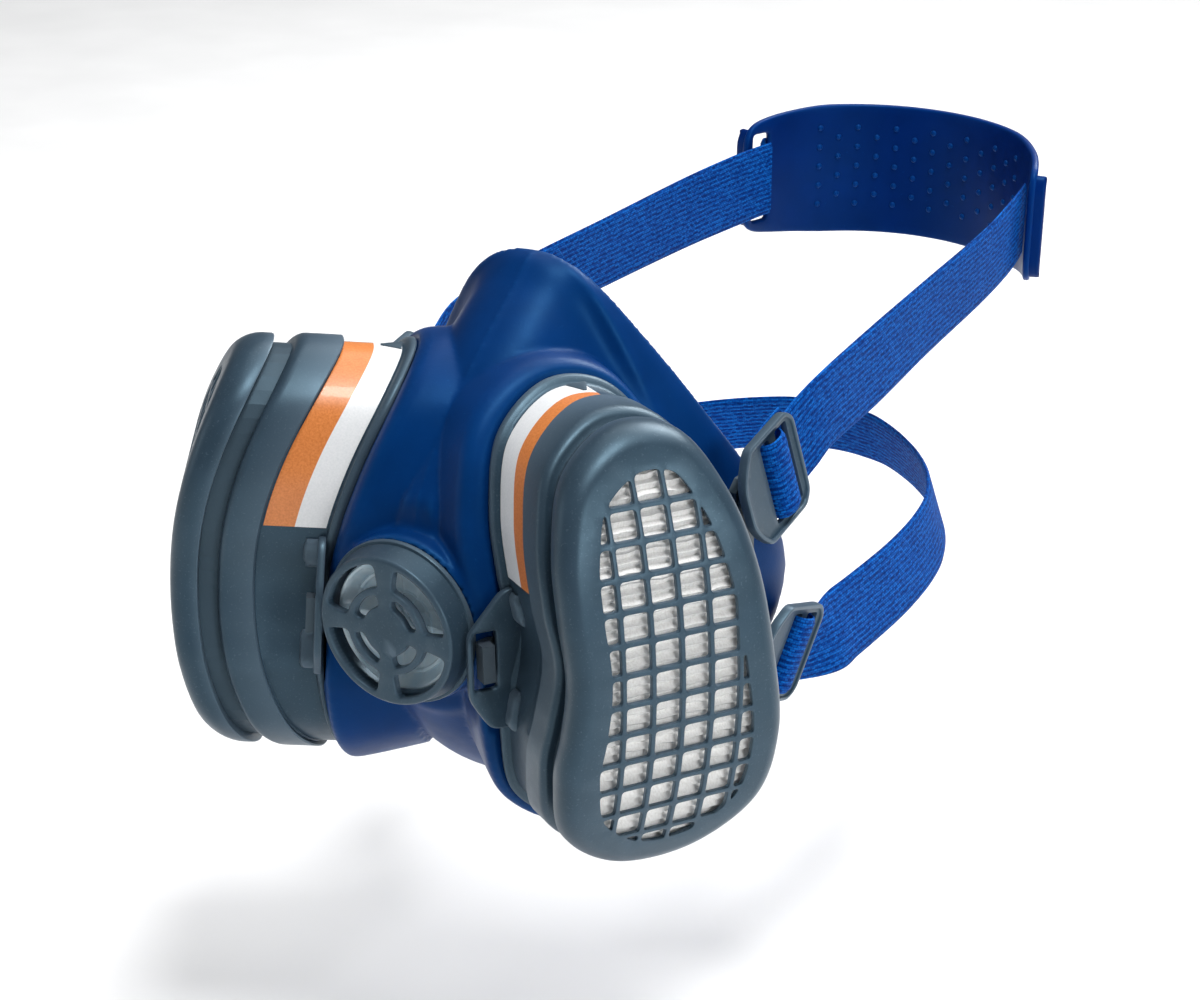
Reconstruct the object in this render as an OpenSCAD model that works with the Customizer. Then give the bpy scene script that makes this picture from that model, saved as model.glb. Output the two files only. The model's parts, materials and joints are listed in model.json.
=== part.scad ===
// Half-mask respirator: a soft facepiece with a front exhalation valve, two clip-on filter
// cartridges, and a harness of elastic straps with a moulded head cradle, posed as worn.
// The wearer looks along -Y. The origin is on the exhalation valve's axis, in the plane of
// the nose edge of the face seal. Right-hand pieces (+X) are mirrored to the left.

/* [Facepiece] */
// Thickness of the moulded skirt
skirt_wall = 2.4; // [2:0.2:3]
// Radius of the neck that holds the front valve
neck_r = 21; // [20.8:0.1:21.4]
// How far the neck stands ahead of the nose edge
neck_y = 53; // [52:0.5:54]
// Width of the in-turned sealing lip, as a share of the opening's radius
lip_share = 0.2; // [0.14:0.02:0.22]

/* [Front valve] */
// Radius of the cover's front rim
cover_r = 18.6; // [18:0.1:19]
// How far the cover's front face stands ahead of the nose edge
cover_y = 67; // [66:0.5:68]
// Radius of the exhalation diaphragm
diaphragm_r = 14.5; // [13.5:0.5:15]
// How far the diaphragm lifts
diaphragm_lift = 1.5; // [1:0.1:1.6]

/* [Filter cartridge] */
// Angle of the cartridge's axis from straight ahead
filter_angle = 56; // [55:0.5:57]
// Upward lean of the cartridge's axis
filter_lean = 4; // [3:0.5:5]
// Depth from the seat to the rear edge of the flange
flange_w = 17.6; // [17:0.2:18]
// Depth of the flange
flange_depth = 8.8; // [8.4:0.2:9.2]
// Depth of the dark gap between the flange and the cap
gap_depth = 4.7; // [4:0.1:5]
// Overall depth of the cartridge
filter_depth = 38; // [37.5:0.5:39]
// Radius of the bend at the flange's rear edge
bend_r = 87; // [84:1:90]
// Radius of the inhalation port
port_r = 12; // [11:0.5:12.5]
// Spacing of the grille bars
grille_pitch = 7.3; // [7:0.1:8]
// Width of a grille bar
grille_bar = 1.6; // [1.4:0.1:2]
// Pleats in the particle filter
pleat_count = 36; // [28:1:40]

/* [Harness] */
// Width of the elastic straps
strap_w = 22; // [20:0.5:22]
// Thickness of the elastic straps
strap_t = 1.5; // [1.2:0.1:1.6]
// Inner radius of the head cradle
cradle_r = 49; // [48.5:0.5:49.5]
// Height of the head cradle at its middle
cradle_h = 43; // [42:1:46]
// Thickness of the head cradle
cradle_t = 2.2; // [2:0.1:2.4]

/* [Hidden] */
$fn = 64;

grey = [0.30, 0.35, 0.39];
blue = [0.02, 0.15, 0.45];
webbing_blue = [0.03, 0.25, 0.68];
clear = [0.75, 0.82, 0.86];
black = [0.08, 0.09, 0.10];
orange = [0.84, 0.49, 0.24];
paper = [0.93, 0.93, 0.90];

gap = 0.3;       // clearance between pieces of different bodies
tiny = 0.05;     // clearance between pieces of one body
far = 60;        // longer than any piece it cuts

// ---------- curves ----------
function unit(v) = v / norm(v);
// The point a share t of the way from b to c on the smooth curve through a, b, c and d.
function smooth(a, b, c, d, t) =
  b + t * (c - a) / 2 + t * t * (2 * a - 5 * b + 4 * c - d) / 2
    + t * t * t * (3 * b - a - 3 * c + d) / 2;
function closed_curve(pts, steps) = let (n = len(pts))
  [for (i = [0 : n - 1], j = [0 : steps - 1])
    smooth(pts[(i + n - 1) % n], pts[i], pts[(i + 1) % n], pts[(i + 2) % n], j / steps)];
function open_curve(pts, steps) = let (n = len(pts))
  concat([for (i = [0 : n - 2], j = [0 : steps - 1])
    smooth(pts[max(i - 1, 0)], pts[i], pts[i + 1], pts[min(i + 2, n - 1)], j / steps)],
    [pts[n - 1]]);
function bezier(a, b, c, d, t) =
  pow(1 - t, 3) * a + 3 * t * pow(1 - t, 2) * b + 3 * t * t * (1 - t) * c + pow(t, 3) * d;
// A closed counter-clockwise outline moved inward by d.
function inset(pts, d) = let (n = len(pts))
  [for (i = [0 : n - 1])
    let (along = unit(pts[(i + 1) % n] - pts[(i + n - 1) % n]))
    pts[i] + d * [-along.y, along.x]];
function centre(pts) = pts * [for (p = pts) 1 / len(pts)];
function mean(pts) = [for (k = [0 : len(pts[0]) - 1])
  centre([for (p = pts) p[k]])];
// Faces of a tube of rings with n points each; its ends are fans round two extra last points.
function tube_faces(rings, n) = concat(
  [for (i = [0 : rings - 2], j = [0 : n - 1])
    let (a = i * n + j, b = i * n + (j + 1) % n, c = (i + 1) * n + (j + 1) % n, d = (i + 1) * n + j)
    each [[a, b, c], [a, c, d]]],
  [for (j = [0 : n - 1]) [(j + 1) % n, j, rings * n]],
  [for (j = [0 : n - 1]) let (k = (rings - 1) * n) [k + j, k + (j + 1) % n, rings * n + 1]]);
module tube(rings) {
  n = len(rings[0]);
  ends = [mean(rings[0]), mean(rings[len(rings) - 1])];
  polyhedron(concat([for (r = rings) each r], ends), tube_faces(len(rings), n), 10);
}
module mirror_left() {
  mirror([1, 0, 0]) children();
}

// ---------- facepiece ----------
// Right half of the face seal's edge, from the nose down to the chin.
seal_half = [[0, 0, 74], [13.5, 1, 69.5], [25, 7, 55.5], [37, 16, 36], [48, 28, 12],
             [53, 33, -10], [49, 25, -32], [33, 6, -51], [14, -7, -61], [0, -10, -63]];
seal_points = concat(seal_half, [for (i = [8 : -1 : 1]) [-seal_half[i].x, seal_half[i].y, seal_half[i].z]]);
around_steps = 2;
around = len(seal_points) * around_steps;
seal_edge = closed_curve(seal_points, around_steps);
meridian_steps = 9;

// A point of the skirt a share t of the way from the seal edge to the neck, d inside the surface.
function skirt_point(i, t, d) =
  let (turn = 90 - 360 * i / around,
       edge = seal_edge[i],
       s = [edge.x, edge.y, edge.z] * (1 - d / norm([edge.x, edge.z])) + [0, edge.y * d / norm([edge.x, edge.z]), 0],
       f = [(neck_r - d) * cos(turn), -neck_y, (neck_r - d) * sin(turn)],
       nose = max(0, sin(turn)),
       near = [s.x * (1.02 - 0.25 * nose), s.y - 0.35 * (s.y + neck_y) + d, s.z * (0.97 - 0.09 * nose)],
       pull = 0.43 - 0.07 * nose + 0.15 * min(0, sin(turn)),
       ahead = [f.x + pull * (0.95 * s.x - f.x), f.y + 0.1 * (s.y + neck_y) + d, f.z + pull * (s.z - f.z)])
  bezier(s, near, ahead, f, t);
function skirt_ring(t, d) = [for (i = [0 : around - 1]) skirt_point(i, t, d)];
function lip_ring(share, back) =
  [for (p = seal_edge) [p.x * (1 - share), p.y + back, p.z * (1 - share)]];

// The skirt's outer surface as a solid, grown by d.
module skirt_outside(d) {
  tube(concat(
    [lip_ring(lip_share + 0.04, -1), lip_ring(lip_share / 2, 1.5 + d)],
    [for (k = [0 : meridian_steps]) skirt_ring(k / meridian_steps, -d)]));
}
// The space inside the skirt and its lip.
module skirt_inside() {
  front = [for (p = skirt_ring(1, skirt_wall)) p - [0, 10, 0]];
  tube(concat([lip_ring(lip_share, 20), lip_ring(lip_share, -2.6), lip_ring(lip_share / 2, -1)],
    [for (k = [1 : meridian_steps]) skirt_ring(k / meridian_steps, skirt_wall)],
    [front]));
}
module facepiece() {
  color(blue) difference() {
    union() {
      skirt_outside(0);
      for (side = [0, 1]) mirror([side, 0, 0]) in_filter_frame() seat_platform();
    }
    skirt_inside();
    for (side = [0, 1]) mirror([side, 0, 0]) in_filter_frame() {
      port_hole(port_r + 2.6);
      port_recess();
      filter_clearance();
    }
  }
}

// ---------- filter cartridge ----------
// Local frame: x runs back along the cheek, y up, and z outward from the seat.
seat_origin = [38.8, -35, 0.3];
module in_filter_frame() {
  translate(seat_origin) rotate([0, 0, filter_angle]) rotate([90, 0, 0])
    rotate([-filter_lean, 0, 0]) children();
}
// Outline of the cartridge seen from outside, counter-clockwise from the top of its back edge.
outline = closed_curve([[11, 51.5], [-4, 54], [-18.5, 45], [-24, 30], [-24.5, 15], [-22.6, 1],
                        [-24.6, -12], [-26, -24], [-22, -41], [-7, -53], [12, -53], [27, -41],
                        [30.5, -22], [28, 0], [25, 21], [20, 38]], 4);
bend_axis = flange_w - bend_r;
seat_r = 123;
seat_axis = [-11.4, -122.6];
port_centre = [3, 2];
rim_w = flange_w + flange_depth;
cap_w = rim_w + gap_depth;
body_inset = 1.6;
bead_inset = -0.4;
neck_inset = 3.9;
cavity_inset = 6;
base_t = 2.5;

module prism(d, low, high) {
  translate([0, 0, low]) linear_extrude(high - low) polygon(inset(outline, d));
}
module bend(w) {
  translate([-far, 0, bend_axis]) rotate([0, 90, 0]) cylinder(h = 2 * far, r = w - bend_axis, $fn = 180);
}
module seat(w) {
  translate([-far, seat_axis.x, seat_axis.y]) rotate([0, 90, 0]) cylinder(h = 2 * far, r = seat_r + w, $fn = 180);
}
// A bent layer between depths w0 and w1 with its outline inset by d.
module layer(d, w0, w1) {
  difference() {
    intersection() {
      prism(d, -far / 2, far);
      bend(w1);
    }
    bend(w0);
  }
}
// The same from a height above the seat.
module seat_layer(d, above, w1) {
  difference() {
    intersection() {
      prism(d, -far / 2, far);
      bend(w1);
    }
    seat(above);
  }
}
module port_hole(r) {
  translate([port_centre.x, port_centre.y, -far]) cylinder(h = 2 * far, r = r);
}
module seat_platform() {
  intersection() {
    prism(body_inset - 1.2, -24, 10);
    seat(-gap);
  }
}
// What the facepiece leaves free for the cartridge to slide off.
module filter_clearance() {
  difference() {
    prism(bead_inset - 0.6, -10, far);
    seat(-gap);
  }
  translate([0, 0, flange_w - 4]) prism(-0.6, 0, far);
  translate([latch_s - 3, latch_v.x - 2, -0.2]) cube([20, latch_v.y - latch_v.x + 4, far]);
}

// The latch plate on the housing's front edge, and the window that the catch stands in.
latch_v = [-21.5, 12.5];
latch_s = -34.3;
latch_w = [0.6, 2.6];
catch_v = [-8.6, 0.6];
catch_s = [-31.6, -28.6];
window_s = [-33.1, -27.4];
module latch_plate() {
  difference() {
    translate([0, 0, latch_w.x]) linear_extrude(latch_w.y - latch_w.x)
      polygon([[-17, latch_v.y], [-24.5, latch_v.y], [latch_s, latch_v.y - 9.5],
               [latch_s, latch_v.x + 8], [-29.5, latch_v.x], [-17, latch_v.x]]);
    translate([window_s.x, catch_v.x - 2.6, -far / 2])
      cube([window_s.y - window_s.x, catch_v.y - catch_v.x + 5.2, far]);
    prism(body_inset + 1, -far / 2, far);
  }
}
spigot_r = port_r - 0.4;
spigot_wall = 2;
spigot_end = -9.4;
seal_pocket_r = port_r + 5.6;
seal_pocket_w = 1.5;
boss_top = seal_pocket_w + 1.8;
boss_r = seal_pocket_r + 1.6;
module base_bead() {
  difference() {
    intersection() {
      prism(bead_inset, -far / 2, far);
      seat(2.4);
    }
    seat(0);
  }
}
module filter_housing() {
  color(grey) difference() {
    union() {
      difference() {
        union() {
          difference() {
            union() {
              seat_layer(body_inset, 0, rim_w);
              base_bead();
              layer(0, flange_w, rim_w);
              layer(neck_inset, rim_w - 1, cap_w + 3.6);
            }
            seat_layer(cavity_inset, base_t, far);
          }
          difference() {
            translate([port_centre.x, port_centre.y, -10]) cylinder(h = boss_top + 10, r = boss_r);
            seat(0.4);
          }
        }
        translate([port_centre.x, port_centre.y, -far / 2]) cylinder(h = far / 2 + seal_pocket_w, r = seal_pocket_r);
      }
      translate([port_centre.x, port_centre.y, spigot_end]) cylinder(h = seal_pocket_w + 1 - spigot_end, r = spigot_r);
      latch_plate();
    }
    port_hole(spigot_r - spigot_wall);
  }
}
module spigot_seal() {
  color(black) translate([port_centre.x, port_centre.y, -2.3]) difference() {
    cylinder(h = 2.3 + seal_pocket_w - tiny, r = seal_pocket_r - 0.5);
    translate([0, 0, -1]) cylinder(h = 10, r = spigot_r + tiny);
  }
}
module carbon_bed() {
  color(black) difference() {
    seat_layer(cavity_inset + 0.2, base_t + tiny, 13.5);
    translate([port_centre.x, port_centre.y, -far]) cylinder(h = far + boss_top + tiny, r = boss_r + tiny);
  }
}
module felt_pad() {
  color(paper) layer(cavity_inset + 0.2, 13.5 + tiny, 15.5);
}
// A pleated sheet, folded along lines across the cartridge.
pleat_base = 15.5 + tiny;
pleat_top = cap_w + 3.2;
pleat_span = 74;
function pleat_point(k, w) = let (a = pleat_span * (k / (2 * pleat_count) - 0.5) - 2, r = w - bend_axis)
  [r * sin(a), bend_axis + r * cos(a)];
module pleat_pack() {
  folds = [for (k = [0 : 2 * pleat_count]) pleat_point(k, k % 2 == 0 ? pleat_top - 2.4 : pleat_top)];
  back = [for (k = [2 * pleat_count : -4 : 0]) pleat_point(k, pleat_base + 0.3)];
  color(paper) intersection() {
    prism(cavity_inset + 0.2, -far / 2, far);
    translate([-far, 0, 0]) rotate([90, 0, 90]) linear_extrude(2 * far) polygon(concat(folds, back));
  }
}
module cap_seal() {
  color(black) difference() {
    layer(neck_inset - 1.2, rim_w + tiny, cap_w - tiny);
    prism(neck_inset - tiny, -far, far);
  }
}
grille_cols = 6;
grille_rows = 13;
grille_start = [-18.4, -48.5];
module grille_windows() {
  intersection() {
    prism(11, 0, far);
    translate([grille_start.x, grille_start.y, 20])
      for (i = [0 : grille_cols - 1], j = [0 : grille_rows - 1])
        translate([i * grille_pitch, j * grille_pitch, 0])
          cube([grille_pitch - grille_bar, grille_pitch - grille_bar, far]);
  }
}
cap_wall = 2.2;
module filter_cap() {
  color(grey) difference() {
    layer(0.4, cap_w, filter_depth);
    layer(neck_inset - 0.2, cap_w - 2, filter_depth - cap_wall);
    grille_windows();
  }
}
// The label wraps the body wall between the base bead and the flange.
module filter_label() {
  color(orange) difference() {
    seat_layer(body_inset - 0.4, 2.6, flange_w - 0.6);
    prism(body_inset - tiny, -far, far);
    translate([-far, -far, -far]) cube([far + 6, far + 15.5, 2 * far]);
    translate([6, -far, -far]) cube([far, far + 34, 2 * far]);
  }
}

// ---------- inhalation port ----------
frame_top = -2.65;
frame_inner = -11.6;
flange_t = 1.6;
stud_r = 1.6;
arm_v = [-10.4, 2.4];
pivot = [-23.4, -3.1];
pivot_r = 0.9;
module port_recess() {
  translate([port_centre.x, port_centre.y, frame_top - 1.9]) cylinder(h = far, r = port_r + 5.5);
  translate([-26, arm_v.x - 0.4, frame_top - 2.1]) cube([26 + port_centre.x, arm_v.y - arm_v.x + 0.8, far]);
}
module port_frame() {
  color(black) {
    difference() {
      translate([port_centre.x, port_centre.y, 0]) union() {
        translate([0, 0, frame_inner]) cylinder(h = frame_top - frame_inner, r = port_r + 2.3);
        translate([0, 0, frame_top - flange_t]) cylinder(h = flange_t, r = port_r + 5.1);
      }
      difference() {
        port_hole(port_r);
        translate([port_centre.x, port_centre.y, frame_inner - 1]) {
          for (turn = [0, 60, 120]) rotate([0, 0, turn]) translate([-far / 2, -0.9, 0]) cube([far, 1.8, 2.4]);
          cylinder(h = 2.4, r = 3);
        }
      }
    }
    translate([port_centre.x, port_centre.y, frame_inner - 3.9]) cylinder(h = 4.1, r = stud_r);
    translate([port_centre.x, port_centre.y, frame_inner - 4.8]) cylinder(h = 1.2, r = stud_r + 1.2);
    catch_arm();
  }
}
// An arm under the cartridge's edge, with two ears for the catch.
module catch_arm() {
  translate([-21.3, arm_v.x, frame_top - flange_t]) difference() {
    cube([21.3, arm_v.y - arm_v.x, flange_t]);
    translate([21.3 + port_centre.x, port_centre.y - arm_v.x, -1]) cylinder(h = 5, r = port_r + 4.8);
  }
  for (v = [arm_v.x, arm_v.y - 1.6]) difference() {
    translate([pivot.x, v, pivot.y]) union() {
      rotate([-90, 0, 0]) cylinder(h = 1.6, r = 1.7);
      translate([0, 0, -1.1]) cube([3, 1.6, 2.2]);
    }
    translate([pivot.x, v - 1, pivot.y]) rotate([-90, 0, 0]) cylinder(h = 4, r = pivot_r + 0.06);
  }
}
module inhalation_flap() {
  color(clear) translate([port_centre.x, port_centre.y, frame_inner - gap - 0.8]) difference() {
    cylinder(h = 0.8, r = port_r + 0.9);
    translate([0, 0, -1]) cylinder(h = 3, r = stud_r + gap);
  }
}
// A sprung lever whose head stands in the latch plate's window.
module catch_lever() {
  low = arm_v.x + 1.6 + 0.2;
  high = arm_v.y - 1.6 - 0.2;
  color(black) {
    translate([pivot.x, low, pivot.y]) rotate([-90, 0, 0]) cylinder(h = high - low, r = 1.4);
    translate([pivot.x, arm_v.x, pivot.y]) rotate([-90, 0, 0]) cylinder(h = arm_v.y - arm_v.x, r = pivot_r);
    translate([0, high, 0]) rotate([90, 0, 0]) linear_extrude(high - low)
      polygon([[pivot.x - 1.2, pivot.y - 0.3], [pivot.x + 0.4, pivot.y + 1], [catch_s.y, 0.6],
               [catch_s.y, 4.7], [catch_s.x, 4.7], [catch_s.x, 0.6], [pivot.x - 3, pivot.y + 1.3]]);
  }
}

// ---------- front valve ----------
module in_valve_frame() {
  rotate([90, 0, 0]) children();
}
seat_w = neck_y - 2.5;
module ring(outer, inner, low, high) {
  translate([0, 0, low]) difference() {
    cylinder(h = high - low, r = outer);
    translate([0, 0, -1]) cylinder(h = high - low + 2, r = inner);
  }
}
module valve_housing() {
  tube_r = neck_r - skirt_wall - 0.4;
  color(grey) {
    ring(tube_r, tube_r - 2.2, neck_y - 8, neck_y + 2.6);
    ring(neck_r - 0.2, tube_r - 0.5, neck_y + 0.1, neck_y + 2.6);
    ring(tube_r - 1, 12.5, seat_w - 1.6, seat_w);
    ring(13.3, 12.5, seat_w - 1, seat_w + 0.4);
    for (turn = [0, 90]) rotate([0, 0, turn]) translate([-13, -1, seat_w - 1.6]) cube([26, 2, 1.4]);
    translate([0, 0, seat_w - 1.6]) cylinder(h = 1.6, r = 3);
    translate([0, 0, seat_w - 1]) cylinder(h = 4.4, r = stud_r);
    translate([0, 0, seat_w + 3.4]) cylinder(h = 1, r = stud_r + 1.2);
  }
}
module exhalation_diaphragm() {
  low = seat_w + 0.4 + gap;
  rim = cover_y - 5;
  color(clear) rotate_extrude() polygon([[stud_r + gap, low], [diaphragm_r, low], [diaphragm_r + 0.8, neck_y + 3], [16.4, rim - 0.4],
                                         [16.2, rim], [15.6, rim], [diaphragm_r - 0.2, neck_y + 3], [diaphragm_r - 1, low + 0.9],
                                         [stud_r + gap, low + 0.9]]);
}
cover_base = neck_y + 2.6 + tiny;
cover_face = 2;
module cover_slot(inner, outer, from, to) {
  translate([0, 0, cover_y - 6]) rotate([0, 0, from]) rotate_extrude(angle = to - from)
    translate([inner, 0]) square([outer - inner, 12]);
}
module valve_cover() {
  color(grey) difference() {
    rotate_extrude() polygon([[0, cover_y], [cover_r - 0.6, cover_y], [cover_r, cover_y - 0.6],
                              [neck_r - 1, cover_base + 3.4], [neck_r, cover_base + 2.8],
                              [neck_r, cover_base], [0, cover_base]]);
    translate([0, 0, cover_base - 1]) cylinder(h = cover_y - cover_face - cover_base + 1, r = cover_r - 1.4);
    for (k = [0 : 3]) {
      cover_slot(11.2, cover_r - 1.8, 90 * k + 11, 90 * k + 79);
      cover_slot(6.4, 8.4, 90 * k + 18, 90 * k + 72);
    }
  }
}

// ---------- buckles, studs and brackets ----------
// Where each buckle turns: the stud's place, the buckle's turn about it, and its tilt.
upper_pin = [57.4, 7.7, 18.6];
upper_turn = 12;
upper_tilt = 10;
lower_pin = [61, 11, -24];
lower_turn = -20;
lower_tilt = -10;
pin_r = 2.2;
buckle_w = 27;
buckle_t = 2.4;
bracket_x = [52.2, 54.4];
bar_y = [11, 14.2];
slot_y = [6.5, 20.2];
buckle_end = 23.2;
module in_buckle(pin, turn, tilt) {
  translate(pin) rotate([turn, 0, 0]) rotate([0, -tilt, 0]) children();
}
function from_buckle(pin, turn, tilt, y, z, x) =
  let (tilted = [x * cos(tilt) - z * sin(tilt), y, x * sin(tilt) + z * cos(tilt)])
  pin + [tilted.x, tilted.y * cos(turn) - tilted.z * sin(turn), tilted.y * sin(turn) + tilted.z * cos(turn)];
module buckle(pin, turn, tilt) {
  slot_h = strap_w * 0.94 + 1;
  color(grey) difference() {
    union() {
      in_buckle(pin, turn, tilt) translate([-buckle_t / 2, 0, 0]) rotate([90, 0, 90]) linear_extrude(buckle_t)
        polygon([[-5, -5], [-3, -9], [1, -buckle_w / 2], [buckle_end - 3, -buckle_w / 2], [buckle_end, -buckle_w / 2 + 3],
                 [buckle_end, buckle_w / 2 - 3], [buckle_end - 3, buckle_w / 2], [1, buckle_w / 2], [-3, 9], [-5, 5]]);
      translate(pin - [1.8, 0, 0]) rotate([0, 90, 0]) cylinder(h = 3.6, r = 5);
    }
    for (slot = [[slot_y.x, bar_y.x], [bar_y.y, slot_y.y]])
      in_buckle(pin, turn, tilt) translate([-5, slot.x, -slot_h / 2]) cube([10, slot.y - slot.x, slot_h]);
    translate(pin - [10, 0, 0]) rotate([0, 90, 0]) cylinder(h = 20, r = pin_r + tiny);
  }
}
module stud(pin) {
  translate([bracket_x.x, pin.y, pin.z]) rotate([0, 90, 0]) cylinder(h = pin.x + 2.4 - bracket_x.x, r = pin_r);
  translate([pin.x + 2.3, pin.y, pin.z]) rotate([0, 90, 0]) cylinder(h = 1.4, r = 3.8);
}
module buckle_studs() {
  color(black) for (side = [0, 1]) mirror([side, 0, 0]) {
    stud(upper_pin);
    stud(lower_pin);
  }
}
module side_bracket() {
  plate_t = bracket_x.y - bracket_x.x;
  color(black) difference() {
    union() {
      translate([bracket_x.x, 0, 0]) rotate([90, 0, 90]) linear_extrude(plate_t) polygon(
        [[3, 15], [3, 21.5], [6, 24], [10, 24], [13, 21], [13.5, 4], [16, -19], [16, -26.5],
         [13.5, -29], [8.5, -29], [6, -26.5], [4.5, -12], [3, 4]]);
      for (pad = [[8.5, 6], [10.5, -12]])
        translate([38, pad.x, pad.y]) rotate([0, 90, 0]) cylinder(h = bracket_x.x + 0.5 - 38, r = 5);
      for (pin = [upper_pin, lower_pin])
        translate([bracket_x.x, pin.y, pin.z]) rotate([0, 90, 0]) cylinder(h = pin.x - 2.2 - bracket_x.x, r = 4);
    }
    skirt_outside(0.15);
    for (pin = [upper_pin, lower_pin])
      translate([bracket_x.x - 2, pin.y, pin.z]) rotate([0, 90, 0]) cylinder(h = 20, r = pin_r + tiny);
  }
}

// ---------- straps and cradle ----------
// A flat strap through stations [place, direction of its width, width].
function ribbon_ring(at, i) =
  let (n = len(at),
       along = unit(at[min(i + 1, n - 1)][0] - at[max(i - 1, 0)][0]),
       face = unit(cross(along, at[i][1])),
       width = unit(cross(face, along)) * at[i][2] / 2,
       thick = face * strap_t / 2)
  [at[i][0] + width + thick, at[i][0] + width - thick, at[i][0] - width - thick, at[i][0] - width + thick];
module ribbon(at) {
  color(webbing_blue) tube([for (i = [0 : len(at) - 1]) ribbon_ring(at, i)]);
}
// The strap's way through a buckle, as [distance from the stud, height over the plate]:
// the tail, up through the near slot, over the bar, down through the far slot and away.
threading = [[27, -5.2], [21, -5.2], [15, -4.6], [9.9, -3.3], [8.5, -0.6], [9.5, 1.7], [12.6, 2.4],
             [15.6, 1.7], [17.3, 0], [19, -1.7], [21.7, -2.35], [27, -2.35]];
front_w = strap_w * 0.94;
function threaded(pin, turn, tilt) =
  [for (p = threading)
    [from_buckle(pin, turn, tilt, p.x, 0, p.y),
     from_buckle(pin, turn, tilt, 0, 1, 0) - pin, front_w]];
// Both end slots of the cradle turn about this line.
cradle_pivot = [208, 33.6];
cradle_centre = [0, 193.5];
back_w = strap_w * 1.08;
strap_lean = [-0.05, 0, 1];
upper_run = [[[56.2, 48, 28.6], [-0.13, 0, 1], front_w],
             [[55, 80, 30.2], [-0.1, 0, 1], strap_w],
             [[52.5, 120, 31.4], strap_lean, strap_w],
             [[49.9, 165, 32.4], [0, 0, 1], strap_w * 1.04],
             [[47.2, 192, 33], [0, 0, 1], back_w],
             [[45.8, cradle_pivot.x - 1.7, 33.3], [0, 0, 1], back_w]];
module upper_strap() {
  ribbon(concat(threaded(upper_pin, upper_turn, upper_tilt), upper_run));
}
module neck_strap() {
  half = concat(threaded(lower_pin, lower_turn, lower_tilt),
    [for (p = open_curve([[60.6, 50, -34], [60.6, 75, -35], [59.8, 100, -35.5], [56, 126, -35.5],
                          [46.5, 148, -35], [31.5, 166, -34.5], [14.5, 178, -34], [0, 181, -34]], 2))
      [p, unit([-0.25 * p.x / 60, -0.5 * max(0, p.y - 90) / 95, 1]), strap_w]]);
  n = len(half);
  ribbon(concat(half, [for (i = [n - 2 : -1 : 0])
    [[-half[i][0].x, half[i][0].y, half[i][0].z], [-half[i][1].x, half[i][1].y, half[i][1].z], half[i][2]]]));
}
function on_cradle(r, turn) = [cradle_centre.x + r * sin(turn), cradle_centre.y + r * cos(turn), cradle_pivot.y];
module cradle_strap() {
  outer = cradle_r + cradle_t + 0.3 + strap_t / 2;
  half = concat([on_cradle(cradle_r - 1, 70.6), on_cradle(cradle_r + 1.2, 68.7), on_cradle(outer - 0.2, 66.4)],
    [for (turn = [62 : -6.2 : 0]) on_cradle(outer, turn)]);
  n = len(half);
  ribbon([for (i = [0 : 2 * n - 2]) let (p = half[i < n ? i : 2 * n - 2 - i])
    [[i < n ? p.x : -p.x, p.y, p.z], [0, 0, 1], back_w]]);
}
bar_h = 40;
bar_depth = 2.4;
cradle_front = 204;
module head_cradle() {
  middle = cradle_pivot.y;
  slot_h = 29;
  color(blue) difference() {
    intersection() {
      translate([cradle_centre.x, cradle_centre.y, 0]) union() {
        ring(cradle_r + cradle_t, cradle_r, 0, 80);
        ring(cradle_r + cradle_t + bar_depth, cradle_r + 1, middle - bar_h / 2, middle + bar_h / 2);
      }
      translate([-100, 0, 0]) rotate([90, 0, 90]) linear_extrude(200) polygon(
        [[cradle_front, middle - 14], [cradle_front + 3, middle - 17.5], [216, middle - 19.5], [230, middle - cradle_h / 2],
         [250, middle - cradle_h / 2], [250, middle + cradle_h / 2], [230, middle + cradle_h / 2],
         [216, middle + 19.5], [cradle_front + 3, middle + 17.5], [cradle_front, middle + 14]]);
    }
    translate([cradle_centre.x, cradle_centre.y, 0]) difference() {
      cylinder(h = 100, r = cradle_r + cradle_t + bar_depth + 5);
      translate([0, 0, -1]) cylinder(h = 102, r = cradle_r + cradle_t);
      translate([-100, cradle_front - cradle_centre.y - 1, -1]) cube([200, 6, 102]);
    }
    translate([-100, cradle_pivot.x - 0.6, cradle_pivot.y - slot_h / 2]) cube([200, 6.8, slot_h]);
  }
}

// ---------- drawing ----------
facepiece();
in_valve_frame() valve_housing();
in_valve_frame() exhalation_diaphragm();
in_valve_frame() valve_cover();
in_filter_frame() port_frame();  // right_port_frame
mirror_left() in_filter_frame() port_frame();  // left_port_frame
in_filter_frame() inhalation_flap();  // right_inhalation_flap
mirror_left() in_filter_frame() inhalation_flap();  // left_inhalation_flap
in_filter_frame() catch_lever();  // right_catch
mirror_left() in_filter_frame() catch_lever();  // left_catch
side_bracket();  // right_side_bracket
mirror_left() side_bracket();  // left_side_bracket
in_filter_frame() filter_housing();  // right_filter_housing
mirror_left() in_filter_frame() filter_housing();  // left_filter_housing
in_filter_frame() cap_seal();  // right_cap_seal
mirror_left() in_filter_frame() cap_seal();  // left_cap_seal
in_filter_frame() filter_cap();  // right_filter_cap
mirror_left() in_filter_frame() filter_cap();  // left_filter_cap
in_filter_frame() pleat_pack();  // right_pleat_pack
mirror_left() in_filter_frame() pleat_pack();  // left_pleat_pack
in_filter_frame() carbon_bed();  // right_carbon_bed
mirror_left() in_filter_frame() carbon_bed();  // left_carbon_bed
in_filter_frame() felt_pad();  // right_felt_pad
mirror_left() in_filter_frame() felt_pad();  // left_felt_pad
in_filter_frame() filter_label();  // right_filter_label
mirror_left() in_filter_frame() filter_label();  // left_filter_label
in_filter_frame() spigot_seal();  // right_spigot_seal
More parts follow.
